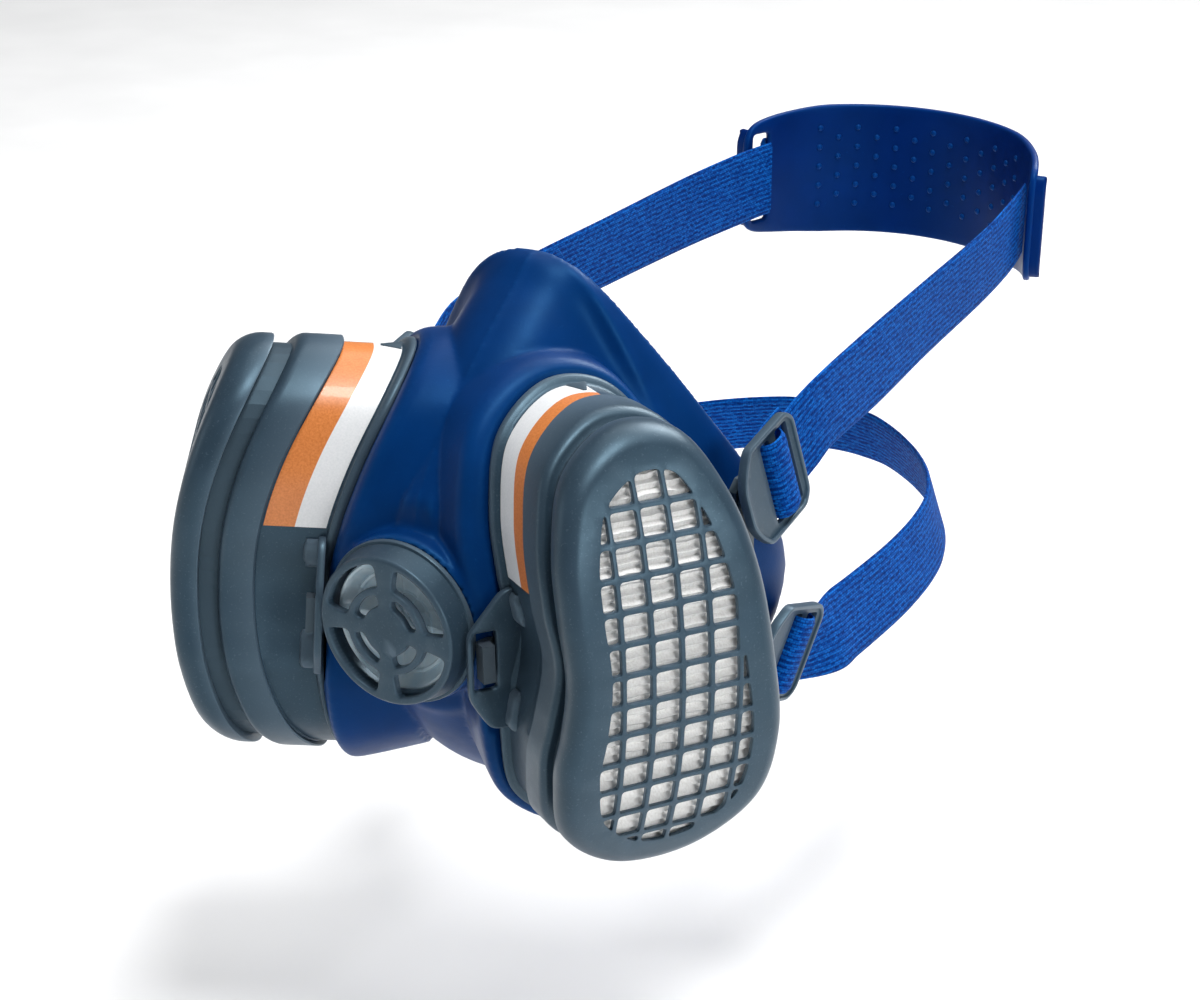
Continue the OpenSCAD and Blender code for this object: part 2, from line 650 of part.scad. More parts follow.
mirror_left() in_filter_frame() spigot_seal();  // left_spigot_seal
buckle(upper_pin, upper_turn, upper_tilt);  // upper_right_buckle
mirror_left() buckle(upper_pin, upper_turn, upper_tilt);  // upper_left_buckle
buckle(lower_pin, lower_turn, lower_tilt);  // lower_right_buckle
mirror_left() buckle(lower_pin, lower_turn, lower_tilt);  // lower_left_buckle
buckle_studs();
upper_strap();  // upper_strap_right
mirror_left() upper_strap();  // upper_strap_left
cradle_strap();
head_cradle();
neck_strap();
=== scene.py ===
"""Half-mask respirator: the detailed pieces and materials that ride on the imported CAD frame.

The wearer looks along -Y, +Z is up and +X is the wearer's left. Right and left in names are as
seen from the front, so right-hand pieces are at +X; mirrored in X, they make the left-hand ones.
Lengths are in millimetres until a mesh is made, when they become metres.
"""

import json
import math

import bmesh
import bpy
import numpy as np
from mathutils import Matrix, Vector
from mathutils.geometry import delaunay_2d_cdt


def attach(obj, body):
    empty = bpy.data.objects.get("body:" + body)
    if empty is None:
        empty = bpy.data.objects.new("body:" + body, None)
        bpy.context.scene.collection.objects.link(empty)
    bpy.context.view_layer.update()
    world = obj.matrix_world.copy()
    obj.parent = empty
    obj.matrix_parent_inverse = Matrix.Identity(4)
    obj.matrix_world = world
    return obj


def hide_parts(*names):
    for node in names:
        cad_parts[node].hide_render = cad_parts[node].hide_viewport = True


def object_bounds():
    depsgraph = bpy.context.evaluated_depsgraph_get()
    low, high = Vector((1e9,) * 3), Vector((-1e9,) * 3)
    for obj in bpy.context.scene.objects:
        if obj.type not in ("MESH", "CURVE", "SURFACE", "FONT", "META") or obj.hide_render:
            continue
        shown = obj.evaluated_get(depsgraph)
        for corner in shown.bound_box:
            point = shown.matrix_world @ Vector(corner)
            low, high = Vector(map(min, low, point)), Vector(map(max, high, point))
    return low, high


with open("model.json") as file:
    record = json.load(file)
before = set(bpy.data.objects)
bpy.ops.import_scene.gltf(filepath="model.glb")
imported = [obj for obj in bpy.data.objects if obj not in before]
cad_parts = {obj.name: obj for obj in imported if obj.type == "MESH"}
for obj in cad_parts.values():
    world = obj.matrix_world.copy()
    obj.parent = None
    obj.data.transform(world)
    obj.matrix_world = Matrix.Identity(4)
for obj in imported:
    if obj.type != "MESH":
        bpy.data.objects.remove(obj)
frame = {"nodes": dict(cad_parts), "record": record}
cad_box = [list(corner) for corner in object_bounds()]
nodes = frame["nodes"]
MM = 0.001
SIDES = ("right", "left")

# ---------- driving sizes, the same as the CAD part's ----------
neck_r, neck_y = 21, 53
cover_r, cover_y, cover_wall = 18.6, 67, 2
flange_w, flange_depth, gap_depth, filter_depth = 17.6, 8.8, 4.7, 38
rim_w = flange_w + flange_depth
cap_w = rim_w + gap_depth
bend_axis = flange_w - 87
seat_r, seat_v, seat_w0 = 123, -11.4, -122.6
body_inset, bead_inset, neck_inset, cavity_inset = 1.6, -0.4, 3.9, 6
port_centre, port_r = np.array([3, 2]), 12
strap_w, strap_t = 22, 1.5
front_w, back_w = strap_w * 0.94, strap_w * 1.08
cradle_r, cradle_t, cradle_y, cradle_z = 49, 2.2, 193.5, 33.6
upper_pin, upper_turn, upper_tilt = (57.4, 7.7, 18.6), 12, 10
lower_pin, lower_turn, lower_tilt = (61, 11, -24), -20, -10


# ---------- curves ----------
def smooth_curve(points, steps, closed=False):
    """A smooth curve through the points, with that many steps between neighbours."""
    p = np.asarray(points, float)
    p = np.vstack([p[-1:], p, p[:2]] if closed else [p[:1], p, p[-1:]])
    t = np.linspace(0, 1, steps, endpoint=False)[:, None]
    rows = [
        b + t * (c - a) / 2 + t**2 * (2 * a - 5 * b + 4 * c - d) / 2 + t**3 * (3 * b - a - 3 * c + d) / 2
        for a, b, c, d in zip(p, p[1:], p[2:], p[3:])
    ]
    if not closed:
        rows.append(p[-1:])
    return np.vstack(rows)


def unit(rows):
    """Each row scaled to a length of one."""
    return rows / np.linalg.norm(rows, axis=1)[:, None]


def travelled(points):
    """The distance along a line of points, at each of them."""
    return np.concatenate([[0], np.cumsum(np.linalg.norm(np.diff(points, axis=0), axis=1))])


def inset(loop, distance):
    """A closed counter-clockwise loop moved inward."""
    along = unit(np.roll(loop, -1, 0) - np.roll(loop, 1, 0))
    return loop + distance * np.column_stack([-along[:, 1], along[:, 0]])


def resample(loop, spacing):
    """A closed loop with evenly spaced points."""
    p = np.vstack([loop, loop[:1]])
    length = travelled(p)
    count = max(12, int(length[-1] / spacing))
    at = np.linspace(0, length[-1], count, endpoint=False)
    return np.column_stack([np.interp(at, length, p[:, k]) for k in (0, 1)])


def soften(loop, spacing, radius):
    """A closed loop with its corners rounded to about that radius."""
    loop = resample(np.asarray(loop, float), spacing)
    reach = max(1, int(round(radius / spacing)))
    kernel = range(-reach, reach + 1)
    for _ in range(2):
        loop = sum(np.roll(loop, k, 0) for k in kernel) / len(kernel)
    return loop


def circle(radius, count=96, centre=(0, 0)):
    turn = np.linspace(0, 2 * math.pi, count, endpoint=False)
    return np.column_stack([centre[0] + radius * np.cos(turn), centre[1] + radius * np.sin(turn)])


def rectangle(x0, x1, y0, y1):
    return [[x0, y0], [x1, y0], [x1, y1], [x0, y1]]


def inside(points, loops):
    """Which points lie inside an odd number of the loops."""
    result = np.zeros(len(points), bool)
    for loop in loops:
        a, b = loop, np.roll(loop, -1, 0)
        for (ax, ay), (bx, by) in zip(a, b):
            if ay == by:
                continue
            crosses = (ay > points[:, 1]) != (by > points[:, 1])
            at = ax + (points[:, 1] - ay) * (bx - ax) / (by - ay)
            result ^= crosses & (points[:, 0] < at)
    return result


def clip_to_box(loop, low, high):
    """The part of a closed loop inside an upright box."""
    for axis in (0, 1):
        for limit, sign in ((low[axis], 1), (high[axis], -1)):
            kept = []
            for a, b in zip(loop, np.roll(loop, -1, 0)):
                in_a, in_b = sign * (a[axis] - limit) >= 0, sign * (b[axis] - limit) >= 0
                if in_a:
                    kept.append(a)
                if in_a != in_b:
                    kept.append(a + (b - a) * (limit - a[axis]) / (b[axis] - a[axis]))
            if len(kept) < 3:
                return None
            loop = np.array(kept)
    return loop


def area(loop):
    nxt = np.roll(loop, -1, 0)
    return 0.5 * np.sum(loop[:, 0] * nxt[:, 1] - nxt[:, 0] * loop[:, 1])


def rounding(inset0, height, radius, steps, down=True, rise=None):
    """Profile points of a rounded edge that starts on a flat face and turns down its side."""
    rise = radius if rise is None else rise
    sign = 1 if down else -1
    return [
        (inset0 + radius * (1 - math.sin(a)), height - sign * rise * (1 - math.cos(a)))
        for a in [k * math.pi / 2 / steps for k in range(steps + 1)]
    ]


def widened(profile):
    """An outer edge's profile turned into a hole's."""
    return [(-d, w) for d, w in profile]


# ---------- shells ----------
class Shell:
    """Rings of points in millimetres and the faces between them."""

    def __init__(self):
        self.points = []
        self.faces = []

    def ring(self, flat, height):
        """A ring over the flat outline; height is a number or a function of the flat points."""
        flat = np.asarray(flat, float)
        z = height(flat) if callable(height) else np.full(len(flat), float(height))
        return self.ring3(np.column_stack([flat, z]))

    def ring3(self, points):
        start = len(self.points)
        self.points.extend(map(tuple, points))
        return list(range(start, start + len(points)))

    def join(self, a, b):
        n = len(a)
        self.faces.extend((a[i], a[(i + 1) % n], b[(i + 1) % n], b[i]) for i in range(n))

    def chain(self, rings):
        """Faces between neighbouring rings."""
        for a, b in zip(rings, rings[1:]):
            self.join(a, b)

    def bar(self, rings):
        """A closed bar: neighbouring rings joined, and both ends closed."""
        self.chain(rings)
        self.close(rings[0])
        self.close(rings[-1])

    def cloth(self, rows):
        """An open surface between neighbouring rows of points."""
        for a, b in zip(rows, rows[1:]):
            self.faces.extend((a[i], a[i + 1], b[i + 1], b[i]) for i in range(len(a) - 1))

    def loft(self, outline, profile, lift=None):
        """Rings down a profile of (inset, height) pairs; returns the first and the last."""
        rings = []
        for d, z in profile:
            flat = inset(outline, d)
            rings.append(self.ring(flat, (lambda f, z=z: lift(f, z)) if lift else z))
        self.chain(rings)
        return rings[0], rings[-1]

    def holes(self, loops, profile, lift=None):
        """Holes' walls down a profile; returns the rings at their tops and those at their ends."""
        pairs = [self.loft(loop, profile, lift) for loop in loops]
        return [first for first, last in pairs], [last for first, last in pairs]

    def close(self, ring):
        """A flat fan over a ring."""
        middle = len(self.points)
        self.points.append(tuple(np.mean([self.points[i] for i in ring], 0)))
        n = len(ring)
        self.faces.extend((ring[i], ring[(i + 1) % n], middle) for i in range(n))

    def sheet(self, rings, height, pitch):
        """A triangulated face between an outer ring and the holes' rings."""
        loops = [np.array([self.points[i][:2] for i in ring]) for ring in rings]
        low, high = loops[0].min(0), loops[0].max(0)
        steps = np.ceil((high - low) / pitch).astype(int) + 1
        xs = np.linspace(low[0], high[0], steps[0])
        ys = np.linspace(low[1], high[1], steps[1])
        grid = np.array([(x, y) for x in xs for y in ys])
        grid = grid[inside(grid, loops)]
        edge_points = np.vstack(loops)
        near = np.array([np.min(np.sum((edge_points - g) ** 2, 1)) for g in grid])
        flat = np.vstack([edge_points, grid[near > (0.45 * pitch) ** 2]]) if len(grid) else edge_points
        edges, start = [], 0
        for loop in loops:
            n = len(loop)
            edges += [(start + i, start + (i + 1) % n) for i in range(n)]
            start += n
        out = delaunay_2d_cdt([Vector(p) for p in flat], edges, [], 0, 1e-6)
        points, faces, origin = np.array([tuple(p) for p in out[0]]), out[2], out[3]
        known = [i for ring in rings for i in ring]
        places = {}
        extra = []
        for k, came_from in enumerate(origin):
            first = came_from[0] if came_from else len(flat)
            if first < len(known):
                places[k] = known[first]
            else:
                places[k] = len(self.points) + len(extra)
                extra.append(points[k])
        if extra:
            self.ring(np.array(extra), height)
        centres = np.array([points[list(f)].mean(0) for f in faces])
        keep = inside(centres, loops)
        self.faces.extend(tuple(places[i] for i in f) for f, good in zip(faces, keep) if good)


def new_object(name, data):
    made = bpy.data.objects.new(name, data)
    bpy.context.scene.collection.objects.link(made)
    return made


def make(name, shell, placing=None, left=False, sharp=35):
    """A mesh object in metres from a shell, placed by a matrix in millimetres."""
    points = np.array(shell.points, float)
    if placing is not None:
        m = np.array(placing)
        points = points @ m[:3, :3].T + m[:3, 3]
    if left:
        points[:, 0] *= -1
    mesh = bpy.data.meshes.new(name)
    mesh.from_pydata((points * MM).tolist(), [], shell.faces)
    mesh.validate()
    bm = bmesh.new()
    bm.from_mesh(mesh)
    bmesh.ops.recalc_face_normals(bm, faces=bm.faces)
    bm.to_mesh(mesh)
    bm.free()
    mesh.shade_smooth()
    mesh.set_sharp_from_angle(angle=math.radians(sharp))
    return new_object(name, mesh)


def coat(piece, material):
    piece.data.materials.clear()
    piece.data.materials.append(material)


def finish_piece(piece, body, material, slot, *stands_for):
    coat(piece, material)
    if stands_for:
        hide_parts(*stands_for)
    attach(piece, body)
    return piece


def tint(piece, shell, material, chosen):
    """A second material for the faces whose middle, in the shell's own frame, is chosen."""
    piece.data.materials.append(material)
    points = np.array(shell.points, float)
    for face in piece.data.polygons:
        if chosen(points[list(face.vertices)].mean(0)):
            face.material_index = 1


# ---------- materials ----------
class Paint:
    """A node material under construction."""

    def __init__(self, name, roughness, **values):
        self.material = bpy.data.materials.new(name)
        self.material.use_nodes = True
        self.tree = self.material.node_tree
        self.shader = self.tree.nodes["Principled BSDF"]
        self.shader.inputs["Roughness"].default_value = roughness
        for key, value in values.items():
            self.shader.inputs[key.replace("_", " ")].default_value = value
        self.place = self.tree.nodes.new("ShaderNodeTexCoord").outputs["Object"]

    def node(self, kind, inputs=(), **settings):
        made = self.tree.nodes.new("ShaderNode" + kind)
        for key, value in settings.items():
            setattr(made, key, value)
        for key, value in dict(inputs).items():
            if isinstance(value, bpy.types.NodeSocket):
                self.tree.links.new(value, made.inputs[key])
            else:
                made.inputs[key].default_value = value
        return made

    def noise(self, size_mm, detail, stretch=None):
        """Soft noise whose lumps are about that size."""
        where = self.place
        if stretch:
            where = self.node("Mapping", {"Vector": where, "Scale": stretch}).outputs[0]
        lumps = {"Vector": where, "Scale": 1000 / size_mm, "Detail": detail}
        return self.node("TexNoise", lumps).outputs["Fac"]

    def spread(self, value, **limits):
        """The value mapped from one range to another, such as From_Min=0.2."""
        inputs = {"Value": value, **{key.replace("_", " "): limit for key, limit in limits.items()}}
        return self.node("MapRange", inputs).outputs[0]

    def ramp(self, value, *stops):
        made = self.node("ValToRGB", {"Fac": value})
        ramp = made.color_ramp
        while len(ramp.elements) < len(stops):
            ramp.elements.new(0.5)
        for element, (at, colour) in zip(ramp.elements, stops):
            element.position = at
            element.color = (*colour, 1)
        return made.outputs["Color"]

    def mix(self, share, a, b):
        made = self.node("Mix", data_type="RGBA")
        for key, value in (("Factor", share), ("A", a), ("B", b)):
            socket = next(s for s in made.inputs if s.name == key and s.enabled)
            if isinstance(value, bpy.types.NodeSocket):
                self.tree.links.new(value, socket)
            else:
                socket.default_value = value if key == "Factor" else (*value, 1)
        return next(s for s in made.outputs if s.enabled)

    def maths(self, operation, *values):
        return self.node("Math", dict(enumerate(values)), operation=operation).outputs[0]

    def edges(self, low, high):
        """High where the surface turns sharply outward; the mask for painted highlights along edges."""
        point = self.node("NewGeometry").outputs["Pointiness"]
        return self.spread(point, From_Min=low, From_Max=high)

    def bump(self, height, distance_mm, under=None):
        inputs = {"Height": height, "Distance": distance_mm * MM}
        if under is not None:
            inputs["Normal"] = under
        return self.node("Bump", inputs).outputs[0]

    def colour(self, socket):
        self.tree.links.new(socket, self.shader.inputs["Base Color"])
        return self

    def rough(self, value, low, high):
        amount = self.spread(value, To_Min=low, To_Max=high)
        self.tree.links.new(amount, self.shader.inputs["Roughness"])
        return self

    def normal(self, socket):
        self.tree.links.new(socket, self.shader.inputs["Normal"])
        return self.material


def moulded(name, base, edge, roughness):
    """Spark-textured moulded plastic with paler specks, and a painted highlight along its sharp outward
    edges.
    """
    grain, depth = 0.35, 0.02
    paint = Paint(name, roughness, Specular_Tint=(0.5, 0.8, 1, 1))
    mottle = paint.noise(9, 3)
    tone = paint.ramp(mottle, (0.3, [c * 0.9 for c in base]), (0.7, [c * 1.1 for c in base]))
    specks = paint.spread(paint.noise(grain * 1.6, 1), From_Min=0.62, From_Max=0.8, To_Max=0.25)
    tone = paint.mix(specks, tone, edge)
    # Painted highlight: the edge colour laid along sharp outward edges.
    tone = paint.mix(paint.maths("MULTIPLY", paint.edges(0.51, 0.58), 0.55), tone, edge)
    paint.colour(tone).rough(paint.noise(3, 3), roughness - 0.06, roughness + 0.08)
    return paint.normal(paint.bump(paint.noise(grain, 2), depth))


# The second colour is both the specks' colour and the painted edge highlight's.
slate = moulded("slate_plastic", (0.025, 0.046, 0.069), (0.13, 0.18, 0.23), 0.36)
# A darker copy of slate: painted shade for the groove between each filter's flange and cap.
shaded_slate = moulded("shaded_slate_plastic", (0.018, 0.031, 0.044), (0.05, 0.075, 0.1), 0.5)
black = moulded("black_plastic", (0.008, 0.012, 0.017), (0.09, 0.115, 0.14), 0.38)
black_rubber = moulded("black_rubber", (0.006, 0.007, 0.009), (0.02, 0.024, 0.03), 0.6)


def soft_rubber(name, base, dust_and_highlight, roughness):
    """Moulded soft rubber with a fine satin grain, faint dusty flecks and a painted highlight along its
    ridges.
    """
    paint = Paint(name, roughness, Specular_IOR_Level=0.22, Specular_Tint=(0.12, 0.5, 1, 1))
    cloud = paint.noise(14, 3)
    tone = paint.ramp(cloud, (0.3, [c * 0.86 for c in base]), (0.75, [c * 1.12 for c in base]))
    # Painted highlight: the pale dust colour laid along sharp ridges.
    tone = paint.mix(paint.maths("MULTIPLY", paint.edges(0.505, 0.56), 0.4), tone, dust_and_highlight)
    flecks = paint.spread(paint.noise(0.9, 1), From_Min=0.7, From_Max=0.84, To_Max=0.2)
    tone = paint.mix(flecks, tone, dust_and_highlight)
    paint.colour(tone).rough(paint.noise(5, 3), roughness - 0.05, roughness + 0.09)
    grain = paint.bump(paint.noise(0.5, 3), 0.02)
    return paint.normal(paint.bump(cloud, 0.05, grain))


# The third colour is both the dusty flecks' colour and the painted ridge highlight's.
face_blue = soft_rubber("facepiece_rubber", (0.001, 0.029, 0.138), (0.012, 0.1, 0.3), 0.38)
cradle_blue = soft_rubber("cradle_rubber", (0.0004, 0.016, 0.125), (0.003, 0.075, 0.32), 0.34)


def knitted(name, thread, shadow, light):
    """Knitted elastic: rows of small stitches over lengthwise ribs, read from the strap's own map."""
    paint = Paint(name, 0.8, Specular_IOR_Level=0.12, Specular_Tint=(0.15, 0.5, 1, 1))
    where = paint.node("UVMap", uv_map="strap").outputs[0]
    bricks = {
        "Vector": where, "Color1": (1, 1, 1, 1), "Color2": (0.2, 0.2, 0.2, 1), "Mortar": (0, 0, 0, 1),
        "Scale": 1, "Mortar Size": 0.12, "Mortar Smooth": 1, "Bias": 0, "Brick Width": 1.2,
        "Row Height": 0.66,
    }
    stitches = paint.node("TexBrick", bricks, offset=0.5).outputs["Color"]
    waves = {"Vector": where, "Scale": 0.2, "Distortion": 2.5, "Detail": 2, "Detail Scale": 1.5}
    ribs = paint.node("TexWave", waves, bands_direction="Y", wave_profile="SIN").outputs["Fac"]
    fuzz = paint.noise(0.35, 3)
    height = paint.maths("MULTIPLY_ADD", ribs, 0.35, paint.maths("MULTIPLY", stitches, 0.6))
    height = paint.maths("MULTIPLY_ADD", fuzz, 0.4, height)
    tone = paint.ramp(height, (0.2, shadow), (0.6, thread), (1.0, light))
    tone = paint.mix(paint.maths("MULTIPLY", paint.noise(14, 2), 0.3), tone, shadow)
    paint.colour(tone).rough(fuzz, 0.62, 0.85)
    return paint.normal(paint.bump(height, 0.34))


webbing = knitted("elastic_webbing", (0.0006, 0.052, 0.3), (0.0003, 0.008, 0.075), (0.006, 0.155, 0.62))


def fleece():
    paint = Paint("pleated_fleece", 0.9, Sheen_Weight=0.2)
    fibres = paint.noise(0.45, 4, stretch=(1, 1, 0.35))
    cloud = paint.noise(5, 3)
    tone = paint.ramp(fibres, (0.3, (0.8, 0.79, 0.77)), (0.62, (0.95, 0.95, 0.94)))
    tone = paint.mix(paint.maths("MULTIPLY", cloud, 0.3), tone, (0.84, 0.83, 0.8))
    paint.colour(tone)
    return paint.normal(paint.bump(fibres, 0.12))


def granules():
    paint = Paint("carbon_granules", 0.7)
    cells = paint.node("TexVoronoi", {"Vector": paint.place, "Scale": 900}).outputs
    paint.colour(paint.mix(cells["Distance"], (0.006, 0.006, 0.006), (0.04, 0.04, 0.04)))
    return paint.normal(paint.bump(cells["Distance"], 0.4))


def printed_label():
    """A plain two-colour band: white towards the mask and orange towards the flange."""
    paint = Paint("label_film", 0.34, Coat_Weight=0.15)
    share = paint.node("Attribute", attribute_name="band").outputs["Fac"]
    step = paint.spread(share, From_Min=0.495, From_Max=0.505)
    mottle = paint.noise(0.5, 3)
    orange = paint.ramp(mottle, (0.3, (0.6, 0.175, 0.035)), (0.7, (0.74, 0.25, 0.065)))
    white = paint.ramp(mottle, (0.3, (0.76, 0.78, 0.79)), (0.7, (0.84, 0.85, 0.86)))
    paint.colour(paint.mix(step, white, orange)).rough(paint.noise(2, 2), 0.3, 0.42)
    return paint.normal(paint.bump(mottle, 0.006))


def silicone():
    """Frosted silicone: pale and bluish, drawn solid."""
    paint = Paint("clear_silicone", 0.22, Coat_Weight=0.5)
    cloud = paint.noise(6, 3)
    paint.colour(paint.ramp(cloud, (0.3, (0.6, 0.82, 0.95)), (0.7, (0.8, 0.94, 1.0))))
    paint.rough(paint.noise(1.2, 2), 0.16, 0.32)
    return paint.normal(paint.bump(paint.noise(0.8, 2), 0.01))


fleece_white, carbon, label_film, clear = fleece(), granules(), printed_label(), silicone()
PAINTS = {
    "facepiece_rubber": face_blue, "cradle_rubber": cradle_blue, "elastic_webbing": webbing,
    "grey_plastic": slate, "black_plastic": black, "black_rubber": black_rubber,
    "clear_silicone": clear, "filter_media": fleece_white, "carbon_granules": carbon,
    "label_paper": label_film,
}
for row in frame["record"]["subparts"]:
    coat(nodes[row["node"]], PAINTS[row["material_slot"]])


# ---------- the filter's own frame ----------
def rotation(axis, degrees):
    return np.array(Matrix.Rotation(math.radians(degrees), 4, axis))


seat_place = np.eye(4)
seat_place[:3, 3] = (38.8, -35, 0.3)
in_filter = seat_place @ rotation("Z", 56) @ rotation("X", 90) @ rotation("X", -4)
in_valve = rotation("X", 90)
outline = smooth_curve(
    [[11, 51.5], [-4, 54], [-18.5, 45], [-24, 30], [-24.5, 15], [-22.6, 1], [-24.6, -12],
     [-26, -24], [-22, -41], [-7, -53], [12, -53], [27, -41], [30.5, -22], [28, 0], [25, 21], [20, 38]],
    14, closed=True,
)


def bent(flat, w):
    """Height of the bent layer at depth w over the flat points."""
    return bend_axis + np.sqrt((w - bend_axis) ** 2 - flat[:, 1] ** 2)


def seated(flat, w):
    """Height above the curved seat."""
    return seat_w0 + np.sqrt((seat_r + w) ** 2 - (flat[:, 1] - seat_v) ** 2)


def blended(flat, w):
    """The seat's curve at the base, turning into the bend at the flange."""
    share = min(max(w / flange_w, 0), 1)
    return (1 - share) * seated(flat, w) + share * bent(flat, w)


# ---------- filter cartridge ----------
cap_outline = outline.copy()
cap_outline[:, 0] -= 0.9 * np.exp(-(((outline[:, 1] - 1) / 9) ** 2)) * (outline[:, 0] < 0)
grille_t = 1.3


def filter_windows():
    pitch, bar, columns, rows = 7.3, 1.1, 6, 13
    border = inset(cap_outline, 9)
    loops = []
    for i in range(columns):
        for j in range(rows):
            low = np.array([-18.4 + i * pitch, -48.5 + j * pitch])
            piece = clip_to_box(border, low, low + pitch - bar)
            if piece is not None and abs(area(piece)) > 2:
                loops.append(soften(piece, 0.5, 0.7))
    return loops


def cap_shell():
    shell = Shell()
    edge, floor_w = 4.2, filter_depth - grille_t
    profile = rounding(0.4, filter_depth, edge, 9, rise=4.6)
    profile += [(0.4, cap_w + 0.5), (0.55, cap_w + 0.12), (1.0, cap_w)]
    profile += [(neck_inset - 0.2, cap_w), (neck_inset - 0.2, floor_w)]
    top, bottom = shell.loft(cap_outline, profile, bent)
    window_edge = widened(rounding(0, filter_depth, 0.25, 3)) + [(0, floor_w)]
    tops, bottoms = shell.holes(filter_windows(), window_edge, bent)
    shell.sheet([top] + tops, lambda f: bent(f, filter_depth), 3)
    shell.sheet([bottom] + bottoms, lambda f: bent(f, floor_w), 6)
    return shell


def housing_shell():
    shell = Shell()
    spigot_r, spigot_end, pocket_r, floor_w = port_r - 0.4, -9.4, port_r + 4.3, 2.6
    profile = [(2.6, 0), (0.4, 0), (-0.1, 0.2), (bead_inset, 0.8), (bead_inset, 1.7), (0, 2.3)]
    profile += [(0.9, 2.5), (body_inset - 0.1, 2.8), (body_inset, 3.4)]
    profile += [(body_inset, w) for w in (7, 12, flange_w - 0.4)]
    profile += [(body_inset - 0.3, flange_w), (0.4, flange_w), (0, flange_w + 0.4), (0, rim_w - 2)]
    profile += rounding(0, rim_w, 1.6, 6)[::-1][1:]
    profile += [(neck_inset - 0.5, rim_w), (neck_inset, rim_w + 0.5)]
    profile += [(neck_inset, cap_w + 3), (neck_inset + 0.4, cap_w + 3.6)]
    profile += [(cavity_inset - 0.3, cap_w + 3.6), (cavity_inset, cap_w + 3.2)]
    profile += [(cavity_inset, 15), (cavity_inset, floor_w + 0.5)]
    base, floor = shell.loft(outline, profile, blended)
    pocket = circle(pocket_r, centre=port_centre)
    mouth, pocket_end = shell.loft(pocket, [(-0.3, 0), (0, 0.3), (0, 1.5)], blended)
    spigot = circle(spigot_r, centre=port_centre)
    wall = [(0, 1.5), (0, spigot_end + 0.8), (0.8, spigot_end), (1.6, spigot_end)]
    root, tip = shell.loft(spigot, wall + [(2, spigot_end + 0.4), (2, floor_w - 1)])
    top_of_spigot = shell.ring(inset(spigot, 2), lambda f: blended(f, floor_w + 0.5))
    shell.join(tip, top_of_spigot)
    shell.join(pocket_end, root)
    shell.sheet([base, mouth], lambda f: blended(f, 0), 5)
    shell.sheet([floor, top_of_spigot], lambda f: blended(f, floor_w + 0.5), 6)
    return shell


latch_low, latch_high = 0.6, 2.6
catch_v = (-8.6, 0.6)


def latch_shell():
    """The plate that the catch holds, with a window."""
    shell = Shell()
    plate = soften([[-34.3, 2.6], [-34.3, -13.2], [-29.2, -21.6], [-20.5, -21.8], [-20.5, 13],
                    [-25.2, 12.6]], 0.7, 1.6)
    window = soften(rectangle(-33, -27.3, catch_v[0] - 2.6, catch_v[1] + 2.6), 0.4, 0.6)
    edge = rounding(0, latch_high, 0.6, 3) + rounding(0, latch_low, 0.4, 2, down=False)[::-1]
    outer = shell.loft(plate, edge)
    hole = shell.loft(window, widened(edge))
    shell.sheet([outer[0], hole[0]], latch_high, 3)
    shell.sheet([outer[1], hole[1]], latch_low, 4)
    return shell


def wall_at(v):
    """Where the housing's front wall stands at height v."""
    wall = inset(outline, body_inset)
    front = wall[wall[:, 0] < -10]
    return front[np.argmin(abs(front[:, 1] - v)), 0]


def rib_shell(low, high):
    """A rounded pad along the housing's wall above the latch plate."""
    shell = Shell()
    rings = []
    for v in np.linspace(low, high, 9):
        end = min(v - low, high - v)
        proud = 1.5 * min(1, 0.35 + end / 2)
        s = wall_at(v)
        top = 6.2 if end > 1 else 5.6
        section = [[s + 1, 0.9], [s - proud, 0.9], [s - proud, top - 1.2], [s - proud * 0.7, top - 0.3]]
        section += [[s, top], [s + 1, top]]
        rings.append(shell.ring3([[p[0], v, p[1]] for p in section]))
    shell.bar(rings)
    return shell


def label_shell():
    """A thin film round the body wall from the latch up and over the top."""
    shell = Shell()
    wall = inset(outline, body_inset - 0.12)
    latch_top, back_top = 14.6, 54
    front = [p for p in wall if p[1] >= latch_top and (p[0] <= 5 or p[1] >= back_top)]
    path = np.array(sorted(front, key=lambda p: math.atan2(p[1] - 14, p[0] - 2), reverse=True))
    low_w, high_w = 3.1, flange_w - 0.5
    shares = np.linspace(0, 1, 7)
    rows = []
    for share in shares:
        w = low_w + share * (high_w - low_w)
        rows.append(shell.ring(path, lambda f, w=w: blended(f, w)))
    shell.cloth(rows)
    shell.band = np.repeat(shares, len(path))
    return shell


def pleat_shell():
    """A folded sheet with rounded ridges, trimmed to the cavity."""
    shell = Shell()
    inner = inset(outline, cavity_inset + 0.3)
    folds, fold_steps, span, cells = 58, 6, 74, 14
    top = filter_depth - grille_t - 0.6
    steps = folds * fold_steps
    rows = []
    for k in range(steps + 1):
        turn = math.radians(span * (k / steps - 0.5) - 2)
        phase = (k / fold_steps) % 1
        ridge = abs(2 * phase - 1)
        drop = 1.3 * (1 - ridge) ** 0.75 if ridge < 1 else 0
        r = top - drop - bend_axis
        v = r * math.sin(turn)
        w = bend_axis + r * math.cos(turn)
        crossing = []
        for a, b in zip(inner, np.roll(inner, -1, 0)):
            if (a[1] > v) != (b[1] > v):
                crossing.append(a[0] + (b[0] - a[0]) * (v - a[1]) / (b[1] - a[1]))
        if len(crossing) < 2:
            continue
        s0, s1 = min(crossing), max(crossing)
        row = []
        for i in range(cells + 1):
            s = s0 + (s1 - s0) * i / cells
            wobble = 0.3 * math.sin(s * 0.9 + k * 0.06) * math.sin(s * 0.41 + k * 0.15)
            row.append([s, v + wobble, w])
        rows.append(shell.ring3(row))
    shell.cloth(rows)
    return shell


